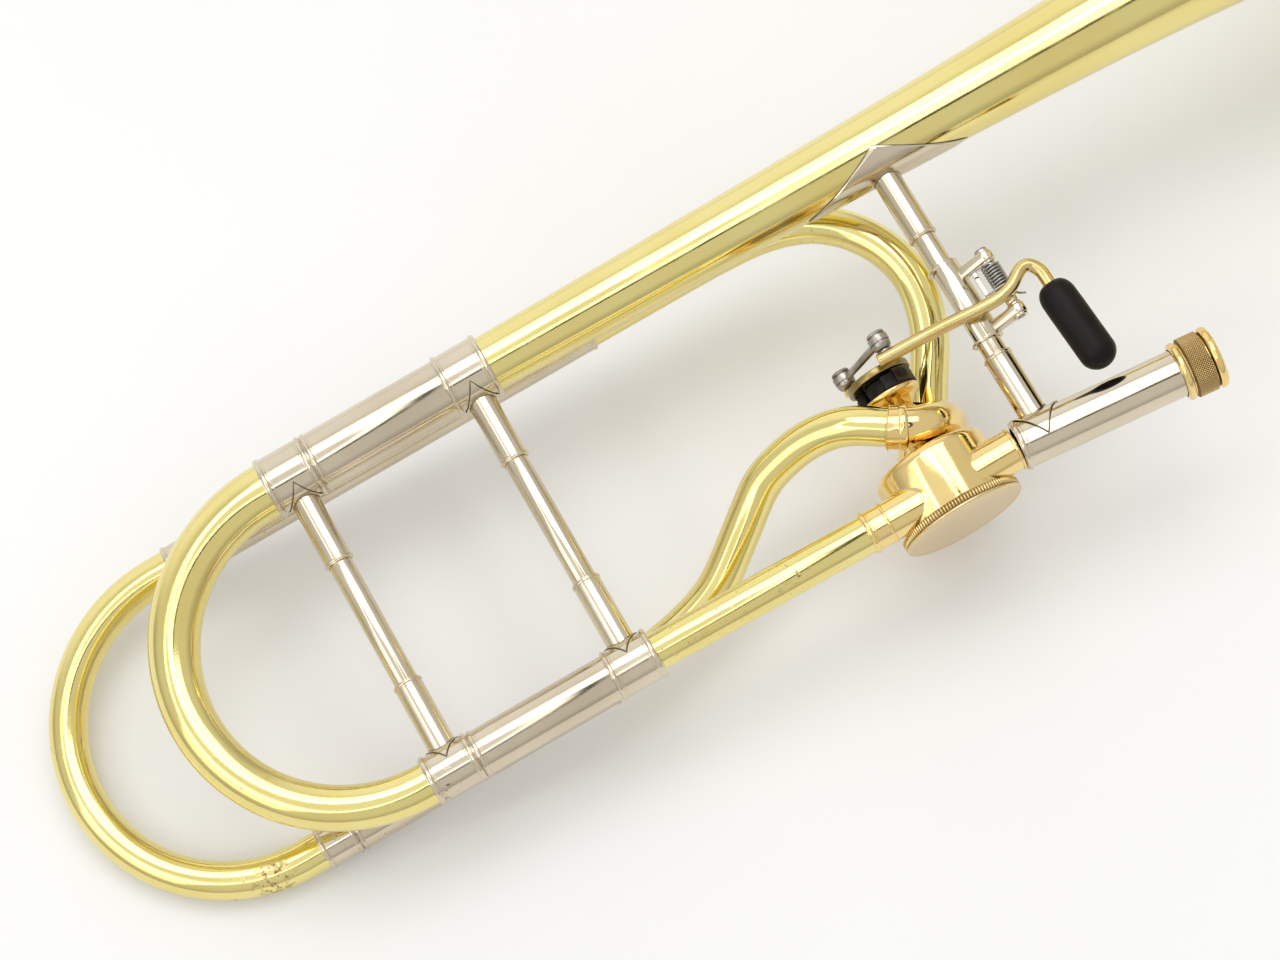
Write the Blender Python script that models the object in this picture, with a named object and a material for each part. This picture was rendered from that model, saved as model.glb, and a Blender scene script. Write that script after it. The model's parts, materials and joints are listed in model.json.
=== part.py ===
"""Trombone bell section with an open-wrap F attachment, without its hand slide.

Lengths below are in millimetres and become metres in the helpers. The instrument is laid
out in its own frame: +X runs along the tubes toward the bell, +Y from the slide side to
the bell side, +Z away from the F attachment. One empty turns that frame into the rest pose,
lying on its bell rim and on the loop of the F attachment.
"""

import math

import bmesh
import bpy
from mathutils import Matrix, Vector

for old in list(bpy.data.objects):
    bpy.data.objects.remove(old)

MM = 0.001

# Rest pose of the whole instrument on a flat floor.
REST_PITCH = -5.751
REST_ROLL = 5.577
REST_SHIFT = (-217.07, -103.07, 43.81)

# Main legs.
LEG_SPACING = 120.0
BOW_CENTRE_X = -2.0
BOW_RADIUS = LEG_SPACING / 2
FERRULE_LEFT = -0.8
FERRULE_RIGHT = 17.6
OUTER_START = 17.9
OUTER_END = 77.0
JOINT_LEFT = 70.9
JOINT_RIGHT = 88.4
BRACE_1_X = 9.0
BRACE_2_X = 79.7
BRACE_3_X = 242.0

# Bell: a gently tapering stem plus a fast flare.
BELL_START = 77.3
BELL_RIM = 541.0
BELL_STEM_R = 10.0
BELL_TAPER = 0.0145
BELL_FLARE_R = 92.3
BELL_FLARE_LENGTH = 41.6
BELL_FLARE_POWER = 0.8
BELL_WALL = 1.1
BELL_TURN = -0.45

# Valve: its axis runs along Y.
VALVE_X = 203.8
VALVE_Z = -11.5
LINE_Y = -1.4
CASING_R = 21.2
CASING_BORE = 19.5
CASING_TOP = 14.5
CASING_BOTTOM = -8.6
CAP_R = 22.8
ROTOR_R = 19.1
PORT_R = 6.6
CASING_PORT_R = 7.9
HOUSING_TOP = 39.5
WHEEL_R = 12.0
WHEEL_BOTTOM = 46.0
WHEEL_TOP = 48.6
STOP_ARM_R = 10.6
STOP_ARM_ANGLE = 198.0
BALL_Y = 54.0

# Hand slide receiver: turned a little away from the bell.
RECEIVER_START = 231.0
RECEIVER_TURN = -5.3
RECEIVER_LENGTH = 74.0
RECEIVER_R = 8.5
NUT_START = 60.8
NUT_END = 75.6

# F attachment.
F_Z = -30.0
F_LOWER_Y = 5.4
F_RADIUS = 58.6
F_UPPER_Y = F_LOWER_Y + 2 * F_RADIUS
F_BOW_X = -52.5
F_TUBE_R = 7.0
F_PORT_OFFSET = 11.0

# Thumb lever.
HINGE_X = 255.4
HINGE_Z = 7.0
LEVER_ROD_R = 2.4
BALL_LEVER_X = 208.9
BALL_LEVER_Z = 6.5

SMOOTH_ANGLE = math.radians(35)

# Sides of the round pieces.
BELL_SIDES = 32
VALVE_SIDES = 28
TUBE_SIDES = 16
STAY_SIDES = 12


def material(name, colour, roughness, metallic):
    made = bpy.data.materials.new(name)
    made.use_nodes = True
    shader = made.node_tree.nodes["Principled BSDF"]
    shader.inputs["Base Color"].default_value = (*colour, 1.0)
    shader.inputs["Roughness"].default_value = roughness
    shader.inputs["Metallic"].default_value = metallic
    return made


YELLOW_BRASS = ((0.78, 0.58, 0.20), 0.16, 1.0)
ROSE_BRASS = ((0.82, 0.58, 0.28), 0.18, 1.0)
NICKEL = ((0.66, 0.62, 0.52), 0.15, 1.0)
STEEL = ((0.36, 0.34, 0.31), 0.30, 1.0)
DARK_STEEL = ((0.20, 0.19, 0.18), 0.35, 1.0)
RUBBER = ((0.03, 0.028, 0.025), 0.55, 0.0)
GRIP_PLASTIC = ((0.045, 0.03, 0.027), 0.45, 0.0)


def empty(name, parent, location):
    """An empty at this point of the instrument frame, in millimetres."""
    made = bpy.data.objects.new(name, None)
    bpy.context.scene.collection.objects.link(made)
    made.parent = parent
    made["at"] = location
    base = Vector(parent["at"]) if parent else Vector((0, 0, 0))
    made.location = (Vector(location) - base) * MM
    return made


instrument = empty("instrument", None, (0.0, 0.0, 0.0))
instrument.rotation_euler = (math.radians(REST_ROLL), math.radians(REST_PITCH), 0.0)
instrument.location = Vector(REST_SHIFT) * MM
tuning_slide = empty("tuning_slide_axis", instrument, (0.0, BOW_RADIUS, 0.0))
f_slide = empty("f_slide_axis", instrument, (F_BOW_X, F_LOWER_Y + F_RADIUS, F_Z))
valve = empty("valve_axis", instrument, (VALVE_X, LINE_Y, VALVE_Z))
lever = empty("lever_axis", instrument, (HINGE_X, 50.0, HINGE_Z))
link = empty("link_axis", lever, (BALL_LEVER_X, BALL_Y, BALL_LEVER_Z))
RECEIVER_AXIS = Vector(
    (math.cos(math.radians(RECEIVER_TURN)), math.sin(math.radians(RECEIVER_TURN)), 0.0)
)
RECEIVER_ORIGIN = Vector((RECEIVER_START, LINE_Y, 0.0))
receiver_nut_axis = empty("nut_axis", instrument, tuple(RECEIVER_ORIGIN + RECEIVER_AXIS * NUT_START))


def finish(obj, body, look, location=(0.0, 0.0, 0.0), axis=None):
    """Parent the object, put it at this point of the instrument frame and turn its Z to axis."""
    obj.parent = body
    obj.location = (Vector(location) - Vector(body["at"])) * MM
    if axis is not None:
        obj.rotation_mode = "QUATERNION"
        obj.rotation_quaternion = Vector(axis).to_track_quat("Z", "X")
    obj.data.materials.append(material(obj.name + "_finish", *look))
    if obj.type == "MESH":
        for face in obj.data.polygons:
            face.use_smooth = True
        obj.data.set_sharp_from_angle(angle=SMOOTH_ANGLE)
    return obj


def add_object(name, mesh):
    obj = bpy.data.objects.new(name, mesh)
    bpy.context.scene.collection.objects.link(obj)
    return obj


def clockwise(profile):
    """The profile of (radius, height) points, turned so that its outer side runs down."""
    area = 0.0
    for (r0, z0), (r1, z1) in zip(profile, profile[1:] + profile[:1]):
        area += r0 * z1 - r1 * z0
    return profile if area < 0 else profile[::-1]


def lathe(name, profile, segments, body, look, location, axis):
    """A turned piece: the profile is spun round its Z axis by a Screw modifier."""
    profile = clockwise(profile)
    on_axis = profile[0][0] == 0 or profile[-1][0] == 0 or any(r == 0 for r, _ in profile)
    if on_axis:
        start = next(i for i, p in enumerate(profile) if p[0] == 0 and profile[i - 1][0] == 0)
        profile = profile[start:] + profile[:start]
    points = [(r * MM, 0.0, z * MM) for r, z in profile]
    count = len(points)
    edges = [(i, i + 1) for i in range(count - 1)]
    if not on_axis:
        edges.append((count - 1, 0))
    mesh = bpy.data.meshes.new(name)
    mesh.from_pydata(points, edges, [])
    obj = add_object(name, mesh)
    screw = obj.modifiers.new("spin", "SCREW")
    screw.axis = "Z"
    screw.steps = segments
    screw.render_steps = segments
    screw.use_merge_vertices = True
    screw.merge_threshold = 0.00001
    screw.use_smooth_shade = True
    return finish(obj, body, look, location, axis)


def sleeve(start, end, outer, inner):
    return [(outer, end), (outer, start), (inner, start), (inner, end)]


def beaded(start, end, outer, inner, beads, height=0.45, half=0.9):
    """A sleeve profile with a rounded ring at each of the given places."""
    side = [(outer, start)]
    for at in sorted(beads):
        side += [(outer, at - half), (outer + height, at), (outer, at + half)]
    side.append((outer, end))
    kept = []
    for point in side:
        point = (point[0], min(max(point[1], start), end))
        if not kept or abs(point[1] - kept[-1][1]) > 0.01 or abs(point[0] - kept[-1][0]) > 0.01:
            kept.append(point)
    return kept + [(inner, end), (inner, start)]


def smooth_path(points, steps):
    """Points along a Catmull-Rom curve through the given points."""
    knots = [Vector(p) for p in points]
    knots = [2 * knots[0] - knots[1]] + knots + [2 * knots[-1] - knots[-2]]
    found = []
    for i in range(1, len(knots) - 2):
        p0, p1, p2, p3 = knots[i - 1 : i + 3]
        for k in range(steps):
            t = k / steps
            found.append(
                0.5
                * (
                    2 * p1
                    + (p2 - p0) * t
                    + (2 * p0 - 5 * p1 + 4 * p2 - p3) * t * t
                    + (3 * p1 - p0 - 3 * p2 + p3) * t * t * t
                )
            )
    found.append(knots[-2])
    return found


def pipe(name, path, radii, wall, resolution, body, look):
    """A bent pipe: a poly curve with a round bevel and, for a hollow pipe, a Solidify wall."""
    data = bpy.data.curves.new(name, "CURVE")
    data.dimensions = "3D"
    data.twist_mode = "MINIMUM"
    data.bevel_depth = MM
    data.bevel_resolution = resolution
    data.use_fill_caps = wall is None
    spline = data.splines.new("POLY")
    spline.points.add(len(path) - 1)
    base = Vector(body["at"])
    for i, point in enumerate(path):
        share = i / (len(path) - 1)
        spline.points[i].co = (*((Vector(point) - base) * MM), 1.0)
        spline.points[i].radius = radii[0] + (radii[1] - radii[0]) * share
    spline.use_smooth = True
    obj = add_object(name, data)
    if wall is not None:
        solidify = obj.modifiers.new("wall", "SOLIDIFY")
        solidify.thickness = wall * MM
        solidify.offset = -1.0
    return finish(obj, body, look, tuple(base))


def arc(centre, radius, start, end, steps, z):
    """Points on a circle in the XY plane, from one angle to another in degrees."""
    found = []
    for i in range(steps + 1):
        angle = math.radians(start + (end - start) * i / steps)
        x = centre[0] + radius * math.cos(angle)
        y = centre[1] + radius * math.sin(angle)
        found.append((x, y, z))
    return found


def cutter(name, shape, body):
    """A helper solid for a Boolean: hidden in renders and drawn as wire."""
    shape.name = name
    shape.hide_render = True
    shape.display_type = "WIRE"
    shape.parent = body
    return shape


def boolean(obj, other, operation):
    step = obj.modifiers.new(operation.lower(), "BOOLEAN")
    step.operation = operation
    step.object = other
    step.solver = "EXACT"


def rod_mesh(name, start, end, radius, segments, body):
    """A plain round rod between two points of the instrument frame, as a helper mesh."""
    shape = bmesh.new()
    first, last = Vector(start), Vector(end)
    turn = (last - first).to_track_quat("Z", "X").to_matrix().to_4x4()
    place = Matrix.Translation((first + last) / 2 * MM - Vector(body["at"]) * MM) @ turn
    bmesh.ops.create_cone(
        shape,
        cap_ends=True,
        segments=segments,
        radius1=radius * MM,
        radius2=radius * MM,
        depth=(last - first).length * MM,
        matrix=place,
    )
    mesh = bpy.data.meshes.new(name)
    shape.to_mesh(mesh)
    shape.free()
    return cutter(name, add_object(name, mesh), body)


def saddle_plate(name, centre, radius_at, length, spread, facing, slope, body, look):
    """A thin kite-shaped plate bent round a tube that runs along X.

    facing is the angle round the tube that the plate is centred on, spread its half angle
    and slope how far the tube's axis moves along Y per millimetre of X.
    """
    rows, columns = 6, 6
    push = math.cos(math.radians(spread / columns))
    shape = bmesh.new()
    grid = []
    for i in range(rows + 1):
        along = -1 + 2 * i / rows
        half = spread * max(1 - abs(along), 0.05)
        x = centre[0] + along * length
        line = []
        for j in range(columns + 1):
            angle = math.radians(facing + half * (-1 + 2 * j / columns))
            r = radius_at(x) / push
            y = centre[1] + slope * (x - centre[0])
            point = Vector((x, y + r * math.cos(angle), centre[2] + r * math.sin(angle)))
            line.append(shape.verts.new((point - Vector(body["at"])) * MM))
        grid.append(line)
    for i in range(rows):
        for j in range(columns):
            shape.faces.new((grid[i][j], grid[i][j + 1], grid[i + 1][j + 1], grid[i + 1][j]))
    bmesh.ops.recalc_face_normals(shape, faces=shape.faces)
    first = next(iter(shape.faces))
    outward = first.calc_center_median() + Vector(body["at"]) * MM - Vector(centre) * MM
    if first.normal.dot(Vector((0.0, outward.y, outward.z))) < 0:
        bmesh.ops.reverse_faces(shape, faces=shape.faces)
    mesh = bpy.data.meshes.new(name)
    shape.to_mesh(mesh)
    shape.free()
    obj = add_object(name, mesh)
    solidify = obj.modifiers.new("thickness", "SOLIDIFY")
    solidify.thickness = 0.5 * MM
    solidify.offset = 1.0
    return finish(obj, body, look, tuple(body["at"]))


def bell_radius(x):
    stem = BELL_STEM_R + BELL_TAPER * (x - BELL_START)
    flare = math.exp(-(((BELL_RIM - x) / BELL_FLARE_LENGTH) ** BELL_FLARE_POWER))
    return stem + BELL_FLARE_R * flare


ALONG_X = (1.0, 0.0, 0.0)
ALONG_Y = (0.0, 1.0, 0.0)
UPPER = (0.0, LEG_SPACING, 0.0)
LOWER = (0.0, 0.0, 0.0)

# ---------------------------------------------------------------- bell
stations = [BELL_START + (BELL_RIM - BELL_START) * (1 - (1 - i / 12) ** 2.1) for i in range(13)]
outer_side = [(bell_radius(x), x) for x in stations]
rim_r = bell_radius(BELL_RIM)
rim_bead = [
    (rim_r + 0.9, BELL_RIM - 0.9),
    (rim_r + 1.3, BELL_RIM),
    (rim_r + 0.7, BELL_RIM + 1.2),
    (rim_r - 1.2, BELL_RIM + 1.2),
]
inner_side = [(bell_radius(x) - BELL_WALL, x) for x in stations[-2::-1]]
# The bell stands a touch closer to the slide at its rim than at its joint.
BELL_AXIS = Vector((math.cos(math.radians(BELL_TURN)), math.sin(math.radians(BELL_TURN)), 0.0))
BELL_SLOPE = math.tan(math.radians(BELL_TURN))
lathe(
    "bell",
    outer_side[:-1] + [(rim_r - 1.6, BELL_RIM - 1.3)] + rim_bead + inner_side,
    BELL_SIDES,
    instrument,
    YELLOW_BRASS,
    tuple(Vector((BELL_START, LEG_SPACING, 0.0)) - BELL_AXIS * BELL_START),
    tuple(BELL_AXIS),
)

# ---------------------------------------------------------------- main tuning slide
bow_path = [(4.0, LEG_SPACING, 0.0)] + arc(
    (BOW_CENTRE_X, BOW_RADIUS), BOW_RADIUS, 90.0, 270.0, 14, 0.0
)
bow_path.append((4.0, 0.0, 0.0))
pipe("tuning_bow", bow_path, (10.1, 7.6), 0.7, 4, tuning_slide, YELLOW_BRASS)
lathe(
    "tuning_ferrule_upper",
    beaded(FERRULE_LEFT, FERRULE_RIGHT, 10.95, 10.45, (0.2, 16.6)),
    TUBE_SIDES,
    tuning_slide,
    NICKEL,
    UPPER,
    ALONG_X,
)
lathe(
    "tuning_ferrule_lower",
    beaded(FERRULE_LEFT, FERRULE_RIGHT, 8.7, 8.0, (0.2, 16.6)),
    TUBE_SIDES,
    tuning_slide,
    NICKEL,
    LOWER,
    ALONG_X,
)
lathe(
    "tuning_inner_upper",
    sleeve(4.4, 66.0, 10.05, 9.55),
    TUBE_SIDES,
    tuning_slide,
    NICKEL,
    UPPER,
    ALONG_X,
)
lathe(
    "tuning_inner_lower",
    sleeve(4.4, 66.0, 7.5, 6.95),
    TUBE_SIDES,
    tuning_slide,
    NICKEL,
    LOWER,
    ALONG_X,
)

# ---------------------------------------------------------------- fixed outer tubes and joints
lathe(
    "slide_outer_upper",
    beaded(OUTER_START, OUTER_END, 10.9, 10.4, (OUTER_START + 1.0,)),
    TUBE_SIDES,
    instrument,
    NICKEL,
    UPPER,
    ALONG_X,
)
lathe(
    "slide_outer_lower",
    beaded(OUTER_START, OUTER_END, 8.4, 7.85, (OUTER_START + 1.0,)),
    TUBE_SIDES,
    instrument,
    NICKEL,
    LOWER,
    ALONG_X,
)


def stepped_joint(name, outer, wide, narrow, location):
    """A ferrule that takes the slide tube on one side and a narrower pipe on the other."""
    profile = beaded(JOINT_LEFT, JOINT_RIGHT, outer, narrow, (71.8, 87.5))
    profile = profile[:-1] + [(narrow, 77.15), (wide, 77.15), (wide, JOINT_LEFT)]
    lathe(name, profile, TUBE_SIDES, instrument, NICKEL, location, ALONG_X)


stepped_joint("bell_joint_ferrule", 11.5, 11.2, 10.65, UPPER)
stepped_joint("gooseneck_joint_ferrule", 9.0, 8.7, 7.05, LOWER)
lathe(
    "gooseneck",
    [(6.9, 94.6), (6.7, 0.0), (6.1, 0.0), (6.3, 94.6)],
    TUBE_SIDES,
    instrument,
    YELLOW_BRASS,
    (77.4, 0.0, 0.0),
    (94.6, LINE_Y, 0.0),
)

# ---------------------------------------------------------------- braces


def brace(name, x, top, bottom, top_bead, bottom_bead, body, top_r, bottom_r, top_y, centre_low):
    """A stay between the legs: two sockets with kite-shaped feet and a thinner tube."""
    lathe(
        name + "_socket_upper",
        beaded(top_bead - 0.9, top, 5.1, 4.7, (top_bead,), 0.5),
        STAY_SIDES,
        body,
        NICKEL,
        (x, 0.0, 0.0),
        ALONG_Y,
    )
    lathe(
        name + "_socket_lower",
        beaded(bottom, bottom_bead + 0.9, 5.1, 4.7, (bottom_bead,), 0.5),
        STAY_SIDES,
        body,
        NICKEL,
        (x, 0.0, 0.0),
        ALONG_Y,
    )
    lathe(
        name + "_tube",
        sleeve(bottom_bead - 12.0, top_bead + 12.0, 4.35, 3.75),
        STAY_SIDES,
        body,
        NICKEL,
        (x, 0.0, 0.0),
        ALONG_Y,
    )
    saddle_plate(
        name + "_foot_upper",
        (x, top_y, 0.0),
        lambda at: top_r(at) + 0.35,
        6.6 if x < 200 else 32.0,
        62.0 if x < 200 else 75.0,
        180.0,
        0.0 if x < 200 else BELL_SLOPE,
        body,
        NICKEL,
    )
    saddle_plate(
        name + "_foot_lower",
        (x, centre_low, 0.0),
        lambda at: bottom_r(at) + 0.3,
        6.6 if x < 200 else 9.5,
        70.0,
        0.0,
        0.0 if x < 200 else math.tan(math.radians(RECEIVER_TURN)),
        body,
        NICKEL,
    )


brace(
    "slide_brace",
    BRACE_1_X,
    LEG_SPACING - 12.4,
    10.1,
    84.3,
    33.7,
    tuning_slide,
    lambda at: 10.95,
    lambda at: 8.7,
    LEG_SPACING,
    0.0,
)
brace(
    "bell_brace",
    BRACE_2_X,
    LEG_SPACING - 13.0,
    10.4,
    84.8,
    33.4,
    instrument,
    lambda at: 11.5,
    lambda at: 9.0,
    LEG_SPACING,
    0.0,
)
BELL_Y_AT_BRACE = LEG_SPACING + (BRACE_3_X - BELL_START) * BELL_SLOPE
RECEIVER_Y_AT_BRACE = LINE_Y + (BRACE_3_X - RECEIVER_START) * math.tan(math.radians(RECEIVER_TURN))
brace(
    "hand_brace",
    BRACE_3_X,
    BELL_Y_AT_BRACE - 15.2,
    8.3,
    81.2,
    29.6,
    instrument,
    lambda at: bell_radius(at) + 0.3,
    lambda at: RECEIVER_R + 0.5,
    BELL_Y_AT_BRACE,
    RECEIVER_Y_AT_BRACE,
)

# ---------------------------------------------------------------- valve body
VALVE_AT = (VALVE_X, 0.0, VALVE_Z)
casing = lathe(
    "valve_casing",
    [
        (8.6, CASING_TOP),
        (CASING_R - 2.6, CASING_TOP),
        (CASING_R - 0.8, CASING_TOP - 0.8),
        (CASING_R, CASING_TOP - 2.6),
        (CASING_R, CASING_BOTTOM + 0.3),
        (CASING_BORE, CASING_BOTTOM + 0.3),
        (CASING_BORE, CASING_TOP - 1.8),
        (8.6, CASING_TOP - 1.8),
    ],
    VALVE_SIDES,
    instrument,
    ROSE_BRASS,
    VALVE_AT,
    ALONG_Y,
)
F_PORT_LEFT_X = VALVE_X - F_PORT_OFFSET
F_PORT_RIGHT_X = VALVE_X + F_PORT_OFFSET
PORT_BORES = (
    ("cut_bore_main", (VALVE_X - 40, LINE_Y, 0.0), (VALVE_X + 40, LINE_Y, 0.0)),
    ("cut_bore_f_left", (F_PORT_LEFT_X, LINE_Y, VALVE_Z), (F_PORT_LEFT_X, LINE_Y, -50.0)),
    ("cut_bore_f_right", (F_PORT_RIGHT_X, LINE_Y, VALVE_Z), (F_PORT_RIGHT_X, LINE_Y, -50.0)),
)
for bore_name, bore_start, bore_end in PORT_BORES:
    bore = rod_mesh(bore_name, bore_start, bore_end, CASING_PORT_R, 24, instrument)
    boolean(casing, bore, "DIFFERENCE")

lathe(
    "valve_cap",
    [
        (0.0, -12.6),
        (CAP_R - 2.4, -12.2),
        (CAP_R - 1.0, -12.4),
        (CAP_R - 0.2, -11.7),
        (CAP_R, -11.2),
        (CAP_R, -9.2),
        (CAP_R - 0.6, CASING_BOTTOM),
        (CAP_R - 2.6, CASING_BOTTOM),
        (CAP_R - 3.4, -11.0),
        (0.0, -11.2),
    ],
    VALVE_SIDES,
    instrument,
    ROSE_BRASS,
    VALVE_AT,
    ALONG_Y,
)
lathe(
    "rotor_bearing_plate",
    [(3.3, -8.8), (19.1, -8.8), (19.1, -7.2), (6.5, -7.2), (6.5, -6.4), (3.3, -6.4)],
    VALVE_SIDES,
    instrument,
    YELLOW_BRASS,
    VALVE_AT,
    ALONG_Y,
)
lathe(
    "bearing_housing",
    [
        (3.4, 12.4),
        (8.4, 12.4),
        (8.4, 14.6),
        (7.2, 15.6),
        (4.7, 17.0),
        (4.5, 32.0),
        (6.6, 34.0),
        (9.0, 37.0),
        (11.3, HOUSING_TOP - 0.8),
        (11.3, HOUSING_TOP),
        (3.4, HOUSING_TOP),
    ],
    24,
    instrument,
    ROSE_BRASS,
    VALVE_AT,
    ALONG_Y,
)
rotor = lathe(
    "rotor",
    [
        (0.0, -8.4),
        (3.0, -8.4),
        (3.0, -5.9),
        (ROTOR_R, -5.9),
        (ROTOR_R, 12.0),
        (3.0, 12.0),
        (3.0, WHEEL_BOTTOM - 0.3),
        (2.6, WHEEL_BOTTOM - 0.3),
        (2.6, WHEEL_TOP - 0.4),
        (0.0, WHEEL_TOP - 0.4),
    ],
    VALVE_SIDES,
    valve,
    YELLOW_BRASS,
    VALVE_AT,
    ALONG_Y,
)
for passage_name, passage_z in (("cut_passage_main", 0.0), ("cut_passage_f", 2 * VALVE_Z)):
    passage = rod_mesh(
        passage_name,
        (VALVE_X - 30, LINE_Y, passage_z),
        (VALVE_X + 30, LINE_Y, passage_z),
        PORT_R,
        20,
        valve,
    )
    boolean(rotor, passage, "DIFFERENCE")

# Stop wheel with its lug, arm and ball stud; the fixed bumper ring leaves a gap for the lug.
wheel = lathe(
    "stop_wheel",
    [(2.9, WHEEL_BOTTOM), (WHEEL_R, WHEEL_BOTTOM), (WHEEL_R, WHEEL_TOP), (2.9, WHEEL_TOP)],
    VALVE_SIDES,
    valve,
    YELLOW_BRASS,
    VALVE_AT,
    ALONG_Y,
)


def polar(radius, angle, y):
    """A point round the valve axis; the angle runs from +X toward +Z."""
    turn = math.radians(angle)
    return (VALVE_X + radius * math.cos(turn), y, VALVE_Z + radius * math.sin(turn))


boolean(
    wheel,
    rod_mesh(
        "wheel_stud",
        polar(STOP_ARM_R, STOP_ARM_ANGLE, WHEEL_BOTTOM + 0.1),
        polar(STOP_ARM_R, STOP_ARM_ANGLE, 50.2),
        2.6,
        16,
        valve,
    ),
    "UNION",
)
boolean(
    wheel,
    rod_mesh(
        "wheel_lug",
        polar(8.6, STOP_ARM_ANGLE, 41.0),
        polar(8.6, STOP_ARM_ANGLE, WHEEL_TOP - 0.3),
        1.9,
        12,
        valve,
    ),
    "UNION",
)
lathe(
    "stop_wheel_screw",
    [
        (0.0, WHEEL_TOP),
        (0.0, WHEEL_TOP + 1.9),
        (2.2, WHEEL_TOP + 1.7),
        (3.4, WHEEL_TOP + 1.2),
        (3.6, WHEEL_TOP + 0.3),
        (1.4, WHEEL_TOP + 0.3),
        (1.4, WHEEL_TOP),
    ],
    20,
    valve,
    STEEL,
    VALVE_AT,
    ALONG_Y,
)


def sector_ring(name, inner, outer, start, end, low, high, steps, body, look):
    """Part of a flat ring round the valve axis: a rectangle spun through an angle."""
    shape = bmesh.new()
    corners = []
    for radius, y in ((inner, low), (outer, low), (outer, high), (inner, high)):
        at = Vector(polar(radius, start, y)) - Vector(body["at"])
        corners.append(shape.verts.new(at * MM))
    face = shape.faces.new(corners)
    centre = (Vector((VALVE_X, 0.0, VALVE_Z)) - Vector(body["at"])) * MM
    bmesh.ops.spin(
        shape,
        geom=[face] + list(face.edges) + list(face.verts),
        cent=centre,
        axis=(0.0, 1.0, 0.0),
        angle=-math.radians(end - start),
        steps=steps,
        use_duplicate=False,
    )
    bmesh.ops.recalc_face_normals(shape, faces=shape.faces)
    mesh = bpy.data.meshes.new(name)
    shape.to_mesh(mesh)
    shape.free()
    return finish(add_object(name, mesh), body, look, tuple(body["at"]))


LUG_HALF = 13.2
sector_ring(
    "stop_bumpers",
    4.6,
    11.5,
    STOP_ARM_ANGLE + LUG_HALF + 1.5,
    STOP_ARM_ANGLE - 90.0 - LUG_HALF - 1.5 + 360.0,
    HOUSING_TOP + 0.3,
    WHEEL_BOTTOM - 0.4,
    20,
    instrument,
    RUBBER,
)

# ---------------------------------------------------------------- main line at the valve
lathe(
    "gooseneck_valve_ferrule",
    beaded(171.2, 184.1, 7.35, 7.15, (172.1, 179.4), 0.5, 0.8),
    TUBE_SIDES,
    instrument,
    ROSE_BRASS,
    (0.0, LINE_Y, 0.0),
    ALONG_X,
)
lathe(
    "receiver_neck_pipe",
    beaded(224.1, RECEIVER_START - 0.4, 7.5, 6.7, (230.0,), 0.5, 0.7),
    TUBE_SIDES,
    instrument,
    ROSE_BRASS,
    (0.0, LINE_Y, 0.0),
    ALONG_X,
)
lathe(
    "slide_receiver",
    [
        (6.9, 0.5),
        (RECEIVER_R - 0.3, 0.5),
        (RECEIVER_R + 0.3, 1.0),
        (RECEIVER_R + 0.3, 2.2),
        (RECEIVER_R, 2.8),
        (RECEIVER_R, RECEIVER_LENGTH - 8.0),
        (RECEIVER_R + 0.5, RECEIVER_LENGTH - 7.5),
        (RECEIVER_R + 0.5, RECEIVER_LENGTH - 6.5),
        (RECEIVER_R, RECEIVER_LENGTH - 6.0),
        (RECEIVER_R, RECEIVER_LENGTH - 4.0),
        (7.7, RECEIVER_LENGTH - 4.0),
        (7.3, 20.0),
        (6.9, 16.0),
    ],
    20,
    instrument,
    NICKEL,
    tuple(RECEIVER_ORIGIN),
    tuple(RECEIVER_AXIS),
)
lathe(
    "receiver_nut",
    [
        (10.2, NUT_START),
        (10.2, NUT_START + 2.4),
        (9.7, NUT_START + 3.2),
        (10.9, NUT_START + 3.8),
        (10.9, NUT_START + 10.8),
        (10.4, NUT_START + 11.4),
        (11.3, NUT_START + 12.4),
        (11.3, NUT_START + 14.0),
        (10.4, NUT_END),
        (8.6, NUT_END),
        (8.6, RECEIVER_LENGTH - 3.7),
        (9.4, RECEIVER_LENGTH - 3.7),
        (9.4, RECEIVER_LENGTH - 7.9),
        (8.9, RECEIVER_LENGTH - 7.9),
        (8.9, NUT_START),
    ],
    20,
    receiver_nut_axis,
    YELLOW_BRASS,
    tuple(RECEIVER_ORIGIN),
    tuple(RECEIVER_AXIS),
)

# ---------------------------------------------------------------- F attachment
F_UPPER = (0.0, F_UPPER_Y, F_Z)
F_LOWER = (0.0, F_LOWER_Y, F_Z)
f_bow_path = [(-43.4, F_UPPER_Y, F_Z)] + arc(
    (F_BOW_X, F_LOWER_Y + F_RADIUS), F_RADIUS, 90.0, 270.0, 14, F_Z
)
f_bow_path.append((-43.4, F_LOWER_Y, F_Z))
pipe("f_bow", f_bow_path, (F_TUBE_R, F_TUBE_R), 0.6, 3, f_slide, YELLOW_BRASS)
for side, place in (("upper", F_UPPER), ("lower", F_LOWER)):
    lathe(
        "f_bow_ferrule_" + side,
        beaded(-46.5, -33.4, 7.75, 7.3, (-45.6, -34.3), 0.45, 0.7),
        TUBE_SIDES,
        f_slide,
        NICKEL,
        place,
        ALONG_X,
    )
    lathe(
        "f_inner_" + side,
        sleeve(-43.0, 50.0, 6.9, 6.4),
        TUBE_SIDES,
        f_slide,
        NICKEL,
        place,
        ALONG_X,
    )
lathe(
    "f_outer_upper",
    beaded(-33.0, 126.0, 7.7, 7.25, (-32.2, 125.2), 0.35, 0.7),
    TUBE_SIDES,
    instrument,
    NICKEL,
    F_UPPER,
    ALONG_X,
)
lathe(
    "f_outer_lower",
    beaded(-33.0, 70.0, 7.7, 7.25, (-32.2, 69.2), 0.35, 0.7),
    TUBE_SIDES,
    instrument,
    NICKEL,
    F_LOWER,
    ALONG_X,
)

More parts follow.
